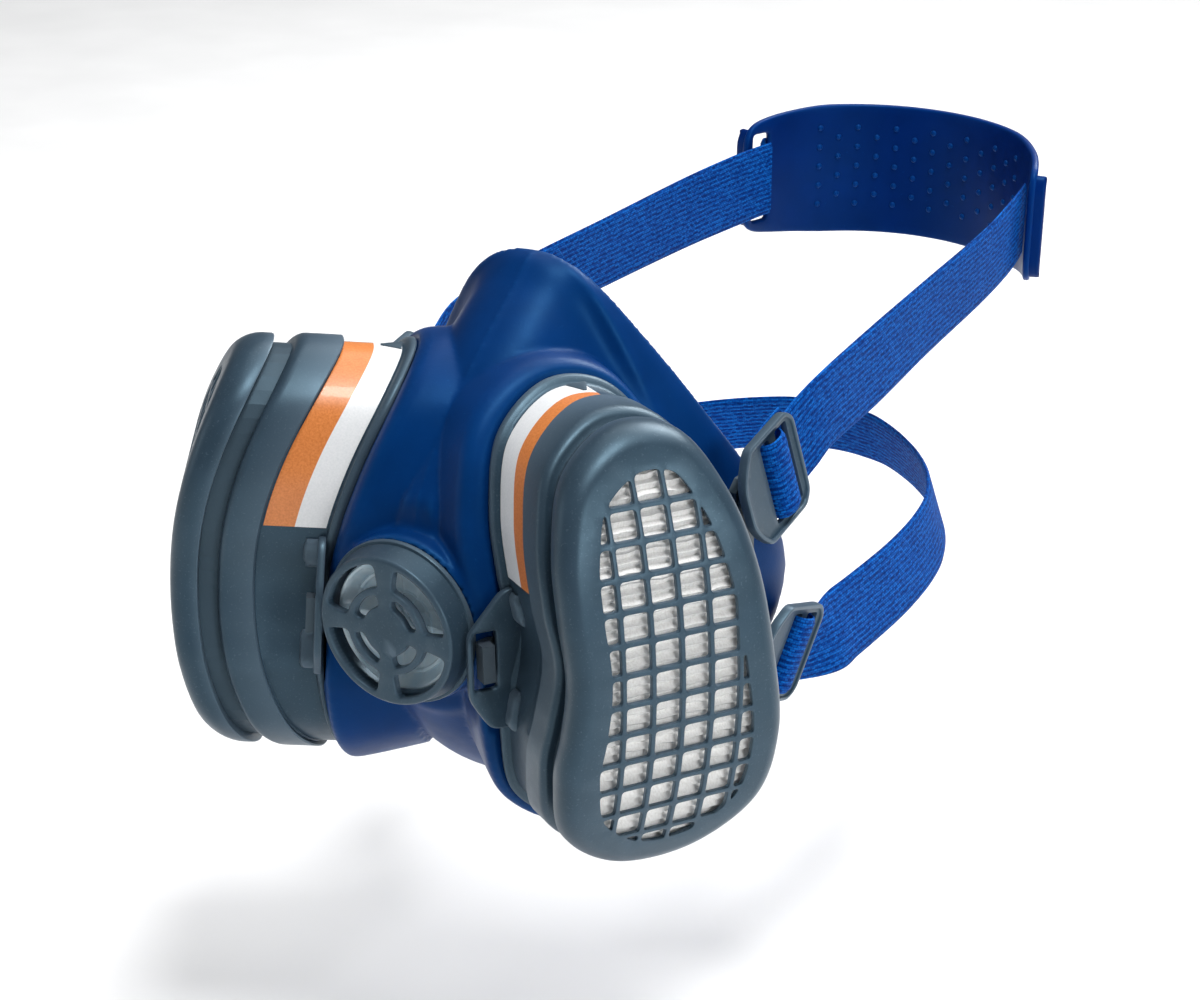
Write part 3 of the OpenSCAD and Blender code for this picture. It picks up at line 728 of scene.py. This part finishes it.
def pointer_shell():
    """A small arrowhead on the bead, over the label's upper edge."""
    shell = Shell()
    wall = inset(outline, body_inset)
    tip = wall[np.argmax(wall[:, 1] + 0.1 * wall[:, 0])]
    rings = []
    for proud, grow in ((-0.5, 1), (0.4, 1), (0.6, 0.8)):
        base_w = 2.2
        point_w = base_w + 4.4 * grow
        corners = [(-2.6, base_w), (2.6, base_w), (0.4, point_w), (-0.4, point_w)]
        rings.append(shell.ring3([
            (tip[0] + s * grow, tip[1] + proud, seated(np.array([tip]), w)[0]) for s, w in corners
        ]))
    shell.bar(rings)
    return shell


cap, housing, latch = cap_shell(), housing_shell(), latch_shell()
label, pleats, pointer = label_shell(), pleat_shell(), pointer_shell()
ribs = [rib_shell(catch_v[1] + 3.4, 12), rib_shell(-21.6, catch_v[0] - 3.4)]
for side in SIDES:
    left = side == "left"
    body = side + "_filter"
    piece = make(side + "_cap", cap, in_filter, left, 40)
    finish_piece(piece, body, slate, "grey_plastic", side + "_filter_cap")
    piece = make(side + "_housing", housing, in_filter, left, 40)
    finish_piece(piece, body, slate, "grey_plastic", side + "_filter_housing")
    # Painted shade: faces above the flange's rim, in the groove under the cap, take the darker slate
    # copy.
    tint(piece, housing, shaded_slate, lambda p: p[2] > bent(np.array([p[:2]]), rim_w + 0.2)[0])
    # The pointer is drawn in the same darker slate copy.
    finish_piece(make(side + "_pointer", pointer, in_filter, left, 30), body, shaded_slate, "grey_plastic")
    finish_piece(make(side + "_latch_plate", latch, in_filter, left, 40), body, slate, "grey_plastic")
    for number, rib in enumerate(ribs, 1):
        piece = make(f"{side}_latch_rib_{number}", rib, in_filter, left, 50)
        finish_piece(piece, body, slate, "grey_plastic")
    piece = make(side + "_label", label, in_filter, left, 60)
    band = piece.data.attributes.new("band", "FLOAT", "POINT")
    band.data.foreach_set("value", label.band.astype(np.float32))
    finish_piece(piece, body, label_film, "label_paper", side + "_filter_label")
    piece = make(side + "_pleats", pleats, in_filter, left, 60)
    finish_piece(piece, body, fleece_white, "filter_media", side + "_pleat_pack")
    # Painted shade: the cap seal's band in the groove between flange and cap takes the darker slate copy.
    coat(nodes[side + "_cap_seal"], shaded_slate)


# ---------- front valve ----------
collar_y = neck_y + 6.4
round_steps = 128


def arc_slot(inner, outer, start, end, radius):
    a = np.radians(np.linspace(start, end, 24))
    loop = np.vstack([
        np.column_stack([outer * np.cos(a), outer * np.sin(a)]),
        np.column_stack([inner * np.cos(a[::-1]), inner * np.sin(a[::-1])]),
    ])
    return soften(loop, 0.45, radius)


def lathe(shell, profile, count=round_steps):
    """A ring with that closed section of (radius, height) pairs."""
    rings = [shell.ring(circle(r, count), z) for r, z in profile]
    shell.chain(rings + rings[:1])


def cover_shell():
    shell = Shell()
    base = neck_y + 2.65
    ceiling = cover_y - cover_wall
    rim, inner = circle(cover_r, round_steps), circle(cover_r - 1.4, round_steps)
    profile = rounding(0, cover_y, 0.9, 5)
    profile += [(-0.2, cover_y - 2.4), (-0.8, cover_y - 4.6), (-1.1, collar_y + 1.7)]
    profile += [(-1.7, collar_y + 1.5), (-1.9, collar_y + 1.1), (-1.9, collar_y + 0.4)]
    profile += [(-1.6, collar_y + 0.1), (-0.3, collar_y), (-0.3, base)]
    top, bottom = shell.loft(rim, profile)
    first, last = shell.loft(inner, [(0, base), (0, ceiling)])
    shell.join(bottom, first)
    slots = [
        arc_slot(low, high, quarter + start, quarter + end, 0.8)
        for quarter in (0, 90, 180, 270)
        for start, end, low, high in ((10, 80, 10.9, 16.8), (14, 76, 6.3, 9.2))
    ]
    tops, bottoms = shell.holes(slots, widened(rounding(0, cover_y, 0.4, 3)) + [(0, ceiling)])
    shell.sheet([top] + tops, cover_y, 2.2)
    shell.sheet([last] + bottoms, ceiling, 4)
    return shell


def diaphragm_shell():
    """A dished disc with a stiffening ring and fine spokes."""
    shell = Shell()
    over = [(16.3, 8.8), (16.4, 9.4), (16, 9.8), (15.4, 9.6), (14.6, 8.5), (13.2, 7), (13, 7.4),
            (12.4, 7.3), (12.1, 6.7), (10, 5.9), (7.6, 5.6), (7.4, 6), (6.9, 6), (6.6, 5.5),
            (3.5, 5.4), (0.05, 5.4)]
    under = [(0.05, 4.8), (7, 4.8), (10.2, 5.2), (12.6, 6.1), (14.4, 7.8), (15.6, 8.8)]
    count, spokes = 144, 12
    turn = 2 * np.pi * np.arange(count) / count
    spoke = 0.35 * np.exp(-(np.sin(spokes * turn / 2) / 0.3) ** 2)
    rings = []
    for r, z in over:
        lifted = spoke if 3 < r < 15 else 0 * spoke
        rings.append(shell.ring(circle(r, count), lambda f, z=z, lifted=lifted: neck_y + z + lifted))
    rings += [shell.ring(circle(r, count), neck_y + z) for r, z in under]
    shell.chain(rings + rings[:1])
    return shell


def valve_seat_shell():
    """The tube that plugs into the rubber neck, with the seat's ring and its cross."""
    shell = Shell()
    top, seat = neck_y + 2.4, neck_y - 2.5
    tube = [(18.2, neck_y - 8), (18.2, neck_y - 0.3), (19.2, neck_y), (19.2, top), (16, top)]
    lip = [(16, seat), (13.4, seat), (13.2, seat + 0.4), (12.6, seat + 0.4), (12.5, seat - 1.6)]
    lathe(shell, tube + lip + [(16, seat - 1.6), (16, neck_y - 8)])
    for long, wide in ((13, 1), (1, 13)):
        bar = soften(rectangle(-long, long, -wide, wide), 1, 0.3)
        edge = [(0.3, seat - 0.2), (0, seat - 0.4), (0, seat - 1.4), (0.2, seat - 1.6)]
        over, under = shell.loft(bar, edge)
        shell.sheet([over], seat - 0.2, 4)
        shell.sheet([under], seat - 1.6, 4)
    over, under = shell.loft(circle(3, 48), [(0.3, seat), (0, seat - 0.3), (0, seat - 1.6)])
    shell.close(over)
    shell.close(under)
    return shell


seat_piece = make("valve_seat", valve_seat_shell(), in_valve, sharp=38)
finish_piece(seat_piece, "mask", slate, "grey_plastic", "valve_housing")
cover_piece = make("front_cover", cover_shell(), in_valve, sharp=38)
finish_piece(cover_piece, "mask", slate, "grey_plastic", "valve_cover")
disc_piece = make("exhalation_disc", diaphragm_shell(), in_valve)
finish_piece(disc_piece, "exhalation_valve", clear, "clear_silicone", "exhalation_diaphragm")


# ---------- facepiece ----------
seal_half = np.array([[0, 0, 74], [13.5, 1, 69.5], [25, 7, 55.5], [37, 16, 36], [48, 28, 12],
                      [53, 33, -10], [49, 25, -32], [33, 6, -51], [14, -7, -61], [0, -10, -63]], float)
seal_points = np.vstack([seal_half, (seal_half * [-1, 1, 1])[8:0:-1]])
around_steps, along_steps = 14, 64
seal_edge = smooth_curve(seal_points, around_steps, closed=True)
around = len(seal_edge)
turns = np.radians(90 - 360 * np.arange(around) / around)


def skirt_rings(depth, shares):
    """Rings of the skirt's surface, depth inside it, at shares of the way from seal to neck."""
    s = seal_edge.copy()
    reach = np.hypot(s[:, 0], s[:, 2])
    s[:, 0] *= 1 - depth / reach
    s[:, 2] *= 1 - depth / reach
    sin, cos = np.sin(turns), np.cos(turns)
    f = np.column_stack([(neck_r - depth) * cos, np.full(around, -neck_y), (neck_r - depth) * sin])
    nose, chin = np.maximum(0, sin), np.minimum(0, sin)
    length = s[:, 1] + neck_y
    near = np.column_stack([
        s[:, 0] * (1.02 - 0.25 * nose), s[:, 1] - 0.35 * length + depth, s[:, 2] * (0.97 - 0.09 * nose)
    ])
    pull = 0.43 - 0.07 * nose + 0.06 * chin
    ahead = np.column_stack([
        f[:, 0] + pull * (0.95 * s[:, 0] - f[:, 0]),
        f[:, 1] + 0.1 * length + depth,
        f[:, 2] + pull * (s[:, 2] - f[:, 2]),
    ])
    return [
        (1 - t) ** 3 * s + 3 * t * (1 - t) ** 2 * near + 3 * t**2 * (1 - t) * ahead + t**3 * f
        for t in shares
    ]


def bell(x, centre, width):
    return np.exp(-(((x - centre) / width) ** 2))


def skirt_relief(rings, shares):
    """Pushes the surface in or out: rolled edge, creases beside the nose, middle line and collar."""
    grid = np.array(rings)
    du = np.roll(grid, -1, 1) - np.roll(grid, 1, 1)
    dt = np.gradient(grid, axis=0)
    normal = np.cross(du, dt)
    normal /= np.maximum(np.linalg.norm(normal, axis=2), 1e-9)[..., None]
    if np.sum(normal[10, around // 4] * [1, 0, 0]) < 0:
        normal *= -1
    t = np.array(shares)[:, None]
    degrees = np.degrees(turns)[None, :]
    from_top = np.abs((degrees - 90 + 180) % 360 - 180)
    past_rim = t - 0.03 - 0.0033 * (from_top - 16)
    rim = np.clip(past_rim / 0.05, 0, 8)
    spine = np.clip((from_top - 4.5 - 110 * (t - 0.68) ** 2) / 7, 0, 8)
    rolled_edge = 1.5 * bell(t, 0.05, 0.08)
    cheek_crease = (0.7 * bell(past_rim, 0, 0.03) - 3.4 * rim * np.exp(-rim)) * bell(from_top, 38, 22)
    nose_crease = (1.3 * np.exp(-spine) - 2.9 * spine * np.exp(-spine)) * bell(t, 0.8, 0.26)
    middle_line = 0.25 * bell(from_top, 0, 0.8) * (t > 0.02)
    collar = 0.9 * bell(t, 0.9, 0.045)
    height = rolled_edge + cheek_crease + nose_crease + middle_line + collar
    return list(grid + normal * height[..., None])


def tube_shell(rings):
    shell = Shell()
    shell.bar([shell.ring3(r) for r in rings])
    return shell


def lip_ring(share, back):
    return seal_edge * [1 - share, 1, 1 - share] + [0, back, 0]


def platform_shell():
    """The boss that carries a filter: flat under it and rolled off outside it."""
    shell = Shell()
    centre = np.array([2.0, 0])
    toward = unit(outline - centre)
    wide = np.clip(toward @ np.array([-0.95, 0.3]), 0, 1) ** 1.5
    low = np.clip(toward @ np.array([0.0, -1.0]), 0, 1) ** 0.7
    floor_w, edge = -0.35, 0.75
    profile = [(-3, floor_w), (0.2, floor_w), (edge, 0), (1.5, 0.3), (3, 0.25), (5.2, -0.2), (6.8, -1.1),
               (7.8, -2.8), (8.4, -5.5), (9, -9), (9.6, -14), (10.2, -20)]
    rings = []
    for out, w in profile:
        drawn_in = low * np.clip(-0.4 - w, 0, 30) * 0.3
        grown = np.where(out > edge, edge + (out - edge) * (0.3 + 0.7 * wide) - drawn_in, out)
        rings.append(shell.ring(inset(outline, -grown[:, None]), lambda f, w=w: seated(f, w)))
    shell.chain(rings)
    shell.close(rings[-1])
    shell.sheet([rings[0]], lambda f: seated(f, floor_w), 5)
    return shell


def prism_shell(loop, low, high):
    shell = Shell()
    top, bottom = shell.loft(loop, [(0, high), (0, low)])
    shell.sheet([top], high, 20)
    shell.sheet([bottom], low, 20)
    return shell


def boolean(target, cutter, operation):
    step = target.modifiers.new("cut", "BOOLEAN")
    step.operation = operation
    step.solver = "MANIFOLD"
    step.object = cutter
    apply_modifiers(target)
    bpy.data.objects.remove(cutter)


def apply_modifiers(piece):
    graph = bpy.context.evaluated_depsgraph_get()
    made = bpy.data.meshes.new_from_object(piece.evaluated_get(graph))
    piece.modifiers.clear()
    old, piece.data = piece.data, made
    bpy.data.meshes.remove(old)


def neck_collar():
    """The rubber ring round the front valve."""
    shell = Shell()
    outside = [(20.4, neck_y - 4), (21, neck_y), (21, collar_y - 1), (20.8, collar_y - 0.5)]
    rim = [(20.4, collar_y - 0.15), (19.9, collar_y - 0.1), (19.4, collar_y - 0.5)]
    lathe(shell, outside + rim + [(19.4, neck_y - 0.2), (18.7, neck_y - 3)], 144)
    return shell


def facepiece():
    """The skirt, bosses and collar in one skin, hollowed and cut for the ports and latches."""
    skin_t, voxel, far = 2.4, 0.75, 60
    shares = list(np.linspace(0, 1, along_steps))
    outer = skirt_relief(skirt_rings(0, shares), shares)
    lip = [lip_ring(0.24, -1), lip_ring(0.16, 0.6), lip_ring(0.1, 1.5), lip_ring(0.04, 1.2)]
    piece = make("soft_facepiece", tube_shell(lip + outer))
    for left in (False, True):
        boolean(piece, make("boss", platform_shell(), in_filter, left), "UNION")
    boolean(piece, make("collar", neck_collar(), in_valve), "UNION")
    inner = skirt_rings(skin_t, list(np.linspace(0, 1, 20))[1:])
    mouth = [lip_ring(0.2, 20), lip_ring(0.2, -2.6), lip_ring(0.1, -1)]
    hollow = tube_shell(mouth + inner + [inner[-1] - [0, 10, 0]])
    boolean(piece, make("hollow", hollow), "DIFFERENCE")
    port = circle(port_r + 2.6, centre=port_centre)
    frame_pocket = circle(port_r + 5.5, centre=port_centre)
    latch_room = soften(rectangle(-38, -19, -24, 15), 1, 2)
    for left in (False, True):
        for loop, low in ((port, -far), (frame_pocket, -4.55), (latch_room, -0.4)):
            cutter = make("cutter", prism_shell(loop, low, far), in_filter, left)
            boolean(piece, cutter, "DIFFERENCE")
    remesh = piece.modifiers.new("remesh", "REMESH")
    remesh.mode = "VOXEL"
    remesh.voxel_size = voxel * MM
    relax = piece.modifiers.new("relax", "SMOOTH")
    relax.factor = 0.5
    relax.iterations = 2
    apply_modifiers(piece)
    piece.data.shade_smooth()
    return finish_piece(piece, "mask", face_blue, "facepiece_rubber", "facepiece")


facepiece()


# ---------- buckles ----------
def buckle_place(pin, turn, tilt):
    place = np.eye(4)
    place[:3, 3] = pin
    return place @ rotation("X", turn) @ rotation("Y", -tilt) @ rotation("X", 90) @ rotation("Y", 90)


def buckle_shell():
    """A plate with a raised rim, two strap slots and the stud's hole; x runs along the strap."""
    shell = Shell()
    wide, end = 13.5, 23.2
    plate = soften([[-5, -5], [-3, -9], [1, -wide], [end - 3, -wide], [end, 3 - wide], [end, wide - 3],
                    [end - 3, wide], [1, wide], [-3, 9], [-5, 5]], 0.6, 1.2)
    slot_h = front_w / 2 + 0.6
    slots = [soften(rectangle(low, high, -slot_h, slot_h), 0.5, 0.5)
             for low, high in ((6.5, 11), (14.2, 20.2))]
    rim_top, floor_top = 1.25, 0.5
    step = [(1.5, floor_top), (1.25, floor_top + 0.15), (1.15, rim_top - 0.2), (0.9, rim_top)]
    side_edge = [(0.35, rim_top), (0.08, rim_top - 0.15), (0, rim_top - 0.5), (0, 0.5 - rim_top)]
    under = [(0.1, 0.1 - rim_top), (0.4, -rim_top), (1.6, -rim_top)]
    top, bottom = shell.loft(plate, step + side_edge + under)
    slot_edge = [(-0.3, floor_top), (-0.08, floor_top - 0.1), (0, floor_top - 0.3)]
    slot_edge += [(0, 0.3 - rim_top), (-0.1, 0.1 - rim_top), (-0.3, -rim_top)]
    tops, bottoms = shell.holes(slots, slot_edge)
    socket, end_of_socket = shell.loft(circle(2.4, 40), [(0, -rim_top), (0, -0.1)])
    shell.close(end_of_socket)
    shell.sheet([top] + tops, floor_top, 2)
    shell.sheet([bottom] + bottoms + [socket], -rim_top, 4)
    return shell


def studs_shell():
    """The four studs that the buckles turn on, each in a blind socket."""
    shell = Shell()
    for pin in (upper_pin, lower_pin):
        for sign in (1, -1):
            rings = []
            for x, r in ((52.3, 2), (pin[0] - 0.7, 2), (pin[0] - 0.4, 1.7)):
                rings.append(shell.ring3([(sign * x, pin[1] + a, pin[2] + b) for a, b in circle(r, 40)]))
            shell.bar(rings)
    return shell


finish_piece(make("strap_studs", studs_shell(), sharp=40), "mask", slate, "black_plastic", "buckle_studs")
buckle = buckle_shell()
for level, pin, turn, tilt in (
    ("upper", upper_pin, upper_turn, upper_tilt),
    ("lower", lower_pin, lower_turn, lower_tilt),
):
    for side in SIDES:
        name = f"{level}_{side}_strap_buckle"
        piece = make(name, buckle, buckle_place(pin, turn, tilt), side == "left", 40)
        finish_piece(piece, level + "_harness", slate, "grey_plastic", f"{level}_{side}_buckle")


# ---------- straps ----------
threading = [[27, -5.2], [21, -5.2], [15, -4.6], [9.9, -3.3], [8.5, -0.6], [9.5, 1.7], [12.6, 2.4],
             [15.6, 1.7], [17.3, 0], [19, -1.7], [21.7, -2.35], [27, -2.35]]


def from_buckle(pin, turn, tilt, y, z, x):
    """A point given along, across and above a buckle."""
    a, b = math.radians(tilt), math.radians(turn)
    px, pz = x * math.cos(a) - z * math.sin(a), x * math.sin(a) + z * math.cos(a)
    return np.array(pin) + [px, y * math.cos(b) - pz * math.sin(b), y * math.sin(b) + pz * math.cos(b)]


def threaded(pin, turn, tilt):
    across = from_buckle(pin, turn, tilt, 0, 1, 0) - np.array(pin)
    return [(from_buckle(pin, turn, tilt, y, 0, x), across, front_w) for y, x in threading]


def both_sides(half):
    """Stations from the right end to the middle, and on through their mirror images."""
    flip = np.array([-1, 1, 1])
    return half + [(p * flip, np.array(d) * flip, w) for p, d, w in half[-2::-1]]


def strap_shell(stations, steps=8):
    """A flat band with rounded edges through stations of place, width direction and width."""
    shell = Shell()
    flat = smooth_curve([[*p, *d, w] for p, d, w in stations], steps)
    places, lean, wide = flat[:, :3], flat[:, 3:6], flat[:, 6]
    along = unit(np.gradient(places, axis=0))
    face = unit(np.cross(along, lean))
    width = np.cross(face, along)
    length = travelled(places)
    half_t = strap_t / 2
    round_t = half_t * 0.9
    across = np.linspace(-1, 1, 17)
    section = [(a, 1) for a in across] + [(a, -1) for a in across[::-1]]
    maps = []
    rings = []
    for k, place in enumerate(places):
        ring = []
        for a, face_side in section:
            edge = abs(a) * wide[k] / 2 - (wide[k] / 2 - round_t)
            thick = half_t if edge < 0 else half_t * math.sqrt(max(0.04, 1 - (edge / round_t) ** 2))
            ring.append(place + width[k] * a * wide[k] / 2 + face[k] * thick * face_side)
            maps.append((a * wide[k] / 2, length[k]))
        rings.append(shell.ring3(ring))
    shell.bar(rings)
    maps += [(0, 0), (0, length[-1])]
    shell.maps = np.array(maps)
    return shell


def strap(name, shell, body, *stands_for, left=False):
    piece = make(name, shell, None, left, 60)
    layer = piece.data.uv_layers.new(name="strap")
    for loop in piece.data.loops:
        layer.data[loop.index].uv = shell.maps[loop.vertex_index][::-1]
    return finish_piece(piece, body, webbing, "elastic_webbing", *stands_for)


lean = [-0.05, 0, 1]
upper_run = [([56.2, 48, 28.6], [-0.13, 0, 1], front_w), ([55, 80, 30.2], [-0.1, 0, 1], strap_w),
             ([52.5, 120, 31.4], lean, strap_w), ([49.9, 165, 32.4], [0, 0, 1], strap_w * 1.04),
             ([47, 192, 33], [0, 0, 1], back_w), ([44.8, 206.5, 33.3], [0, 0, 1], back_w),
             ([43.6, 212.4, 33.4], [0, 0, 1], back_w)]
upper = strap_shell(threaded(upper_pin, upper_turn, upper_tilt) + upper_run)
for side in SIDES:
    strap(f"upper_band_{side}", upper, "upper_harness", f"upper_strap_{side}", left=side == "left")

neck_line = smooth_curve([[60.6, 50, -34], [60.6, 75, -35], [59.8, 100, -35.5], [56, 126, -35.5],
                          [46.5, 148, -35], [31.5, 166, -34.5], [14.5, 178, -34], [0, 181, -34]], 2)
half = threaded(lower_pin, lower_turn, lower_tilt)
half += [(p, [-0.25 * p[0] / 60, -0.5 * max(0, p[1] - 90) / 95, 1], strap_w) for p in neck_line]
strap("neck_band", strap_shell(both_sides(half)), "lower_harness", "neck_strap")


def on_cradle(r, degrees):
    a = math.radians(degrees)
    return [r * math.sin(a), cradle_y + r * math.cos(a), cradle_z]


outer_r = cradle_r + cradle_t + 0.3 + strap_t / 2
half = [on_cradle(cradle_r + 1.4, 67.6), on_cradle(outer_r - 0.2, 66)]
half += [on_cradle(outer_r, 62 - 6.2 * k) for k in range(11)]
half = [(np.array(p), [0, 0, 1], back_w) for p in half]
strap("cradle_band", strap_shell(both_sides(half)), "cradle", "cradle_strap")


# ---------- head cradle ----------
def cradle_shell():
    """A curved panel drawn flat, as arc length and height, then wrapped round the cradle's axis."""
    shell = Shell()
    middle_r = cradle_r + cradle_t / 2
    to_arc = math.radians(1) * middle_r

    def arc_at(y):
        return math.degrees(math.acos((y - cradle_y) / middle_r)) * to_arc

    end, near, knee, full = arc_at(204), arc_at(207), arc_at(216), arc_at(230)
    corner = [[end, 13], [end - 1, 16], [near, 18], [knee, 19.7], [full, 21.5], [0, 21.5]]
    quarter = corner + [[-x, z] for x, z in corner[-2::-1]]
    loop = np.array(quarter + [[x, -z] for x, z in quarter[::-1]], float)
    panel = soften(loop, 1, 3)
    if area(panel) < 0:
        panel = panel[::-1]
    slots = []
    for sign in (1, -1):
        a, b = sign * arc_at(213.8), sign * arc_at(207.4)
        slots.append(soften(rectangle(min(a, b), max(a, b), -14.5, 14.5), 0.8, 1.2))
    profile = rounding(0, cradle_t, 0.9, 4) + rounding(0, 0, 0.9, 4, down=False)[::-1]
    top, bottom = shell.loft(panel, profile)
    tops, bottoms = shell.holes(slots, widened(profile))
    shell.sheet([top] + tops, cradle_t, 2.5)
    shell.sheet([bottom] + bottoms, 0, 2.5)
    dots(shell)
    bars(shell, end, arc_at(207.4))
    wrapped = []
    for arc, z, depth in shell.points:
        turn = arc / middle_r
        r = cradle_r + depth
        wrapped.append((r * math.sin(turn), cradle_y + r * math.cos(turn), cradle_z + z))
    shell.points = wrapped
    return shell


def dots(shell):
    """Staggered half-round studs on the inner face."""
    pitch, radius, columns = 6.4, 1.05, 13
    for i in range(columns):
        arc = (i - (columns - 1) / 2) * pitch
        for j in range(5 - i % 2):
            z = (j - (4 - i % 2) / 2) * pitch + 1.2
            rings = [
                shell.ring(circle(radius * math.cos(a), 14, (arc, z)), 0.15 - radius * 0.85 * math.sin(a))
                for a in np.radians([0, 22, 45, 67])
            ]
            shell.chain(rings)
            shell.close(rings[-1])
            shell.close(rings[0])


def bars(shell, end, inner_end):
    """The raised bar at each end, which the strap wraps."""
    for sign in (1, -1):
        loop = soften([[inner_end, -17], [end - 1.6, -15.6], [end - 0.2, -12], [end - 0.2, 12],
                       [end - 1.6, 15.6], [inner_end, 17]], 0.8, 1)
        loop = loop * [sign, 1]
        if area(loop) < 0:
            loop = loop[::-1]
        high, low = cradle_t + 3, cradle_t - 0.8
        top, bottom = shell.loft(loop, rounding(0.3, high, 1, 4) + [(0.3, low)])
        shell.sheet([top], high, 3)
        shell.sheet([bottom], low, 6)


panel_piece = make("cradle_panel", cradle_shell(), sharp=45)
finish_piece(panel_piece, "cradle", cradle_blue, "cradle_rubber", "head_cradle")

# ---------- small hard pieces kept from the CAD, with eased edges ----------
EASED = [side + "_" + n for side in SIDES for n in ("port_frame", "catch", "side_bracket")]
for name in EASED:
    step = nodes[name].modifiers.new("eased_edges", "BEVEL")
    step.width = 0.25 * MM
    step.segments = 2
    step.limit_method = "ANGLE"
    step.angle_limit = math.radians(50)


# ---------- floor, light and camera ----------
def studio():
    world = bpy.data.worlds.new("studio")
    bpy.context.scene.world = world
    world.use_nodes = True
    background = world.node_tree.nodes["Background"]
    background.inputs["Color"].default_value = (0.93, 0.96, 1, 1)
    background.inputs["Strength"].default_value = 0.12
    reach, drop = 6, 0.07
    floor_z = cad_box[0][2] - drop
    corners = [(x, y, floor_z) for x, y in rectangle(-reach, reach, -reach, reach)]
    floor_mesh = bpy.data.meshes.new("floor")
    floor_mesh.from_pydata(corners, [], [(0, 1, 2, 3)])
    floor = new_object("floor", floor_mesh)
    paint = Paint("pale_floor", 0.8)
    paint.colour(paint.ramp(paint.noise(60, 2), (0.3, (0.88, 0.88, 0.88)), (0.7, (0.92, 0.92, 0.92))))
    floor.data.materials.append(paint.material)
    middle = Vector((0, 0.05, 0.01))
    for name, place, size, power in (
        ("key", (0.25, -0.15, 1.2), 0.35, 9.5),
        ("fill", (-0.95, -0.55, 0.25), 0.5, 0.8),
        ("right", (0.95, -0.35, 0.35), 0.4, 4),
        ("back", (0.1, 1, 0.95), 0.6, 12),
        ("sky", (0, 1.5, 3), 4, 70),
    ):
        lamp = bpy.data.lights.new(name, "AREA")
        lamp.shape = "DISK"
        lamp.size = size
        lamp.energy = power
        holder = new_object(name, lamp)
        holder.location = place
        holder.rotation_mode = "QUATERNION"
        holder.rotation_quaternion = (Vector(place) - middle).to_track_quat("Z", "Y")
    bpy.context.scene.view_settings.view_transform = "Standard"


def camera():
    right, up = (0.86028, 0.50977, 0.00726), (-0.21083, 0.34274, 0.91547)
    back = (0.46419, -0.78909, 0.40233)
    data = bpy.data.cameras.new("camera")
    data.sensor_width = 36
    data.lens = 72.93
    data.clip_start, data.clip_end = 0.01, 50
    holder = new_object("camera", data)
    place = Matrix((right, up, back)).transposed().to_4x4()
    place.translation = Vector((298.06, -475.75, 255.23)) * MM
    holder.matrix_world = place
    bpy.context.scene.camera = holder


studio()
camera()
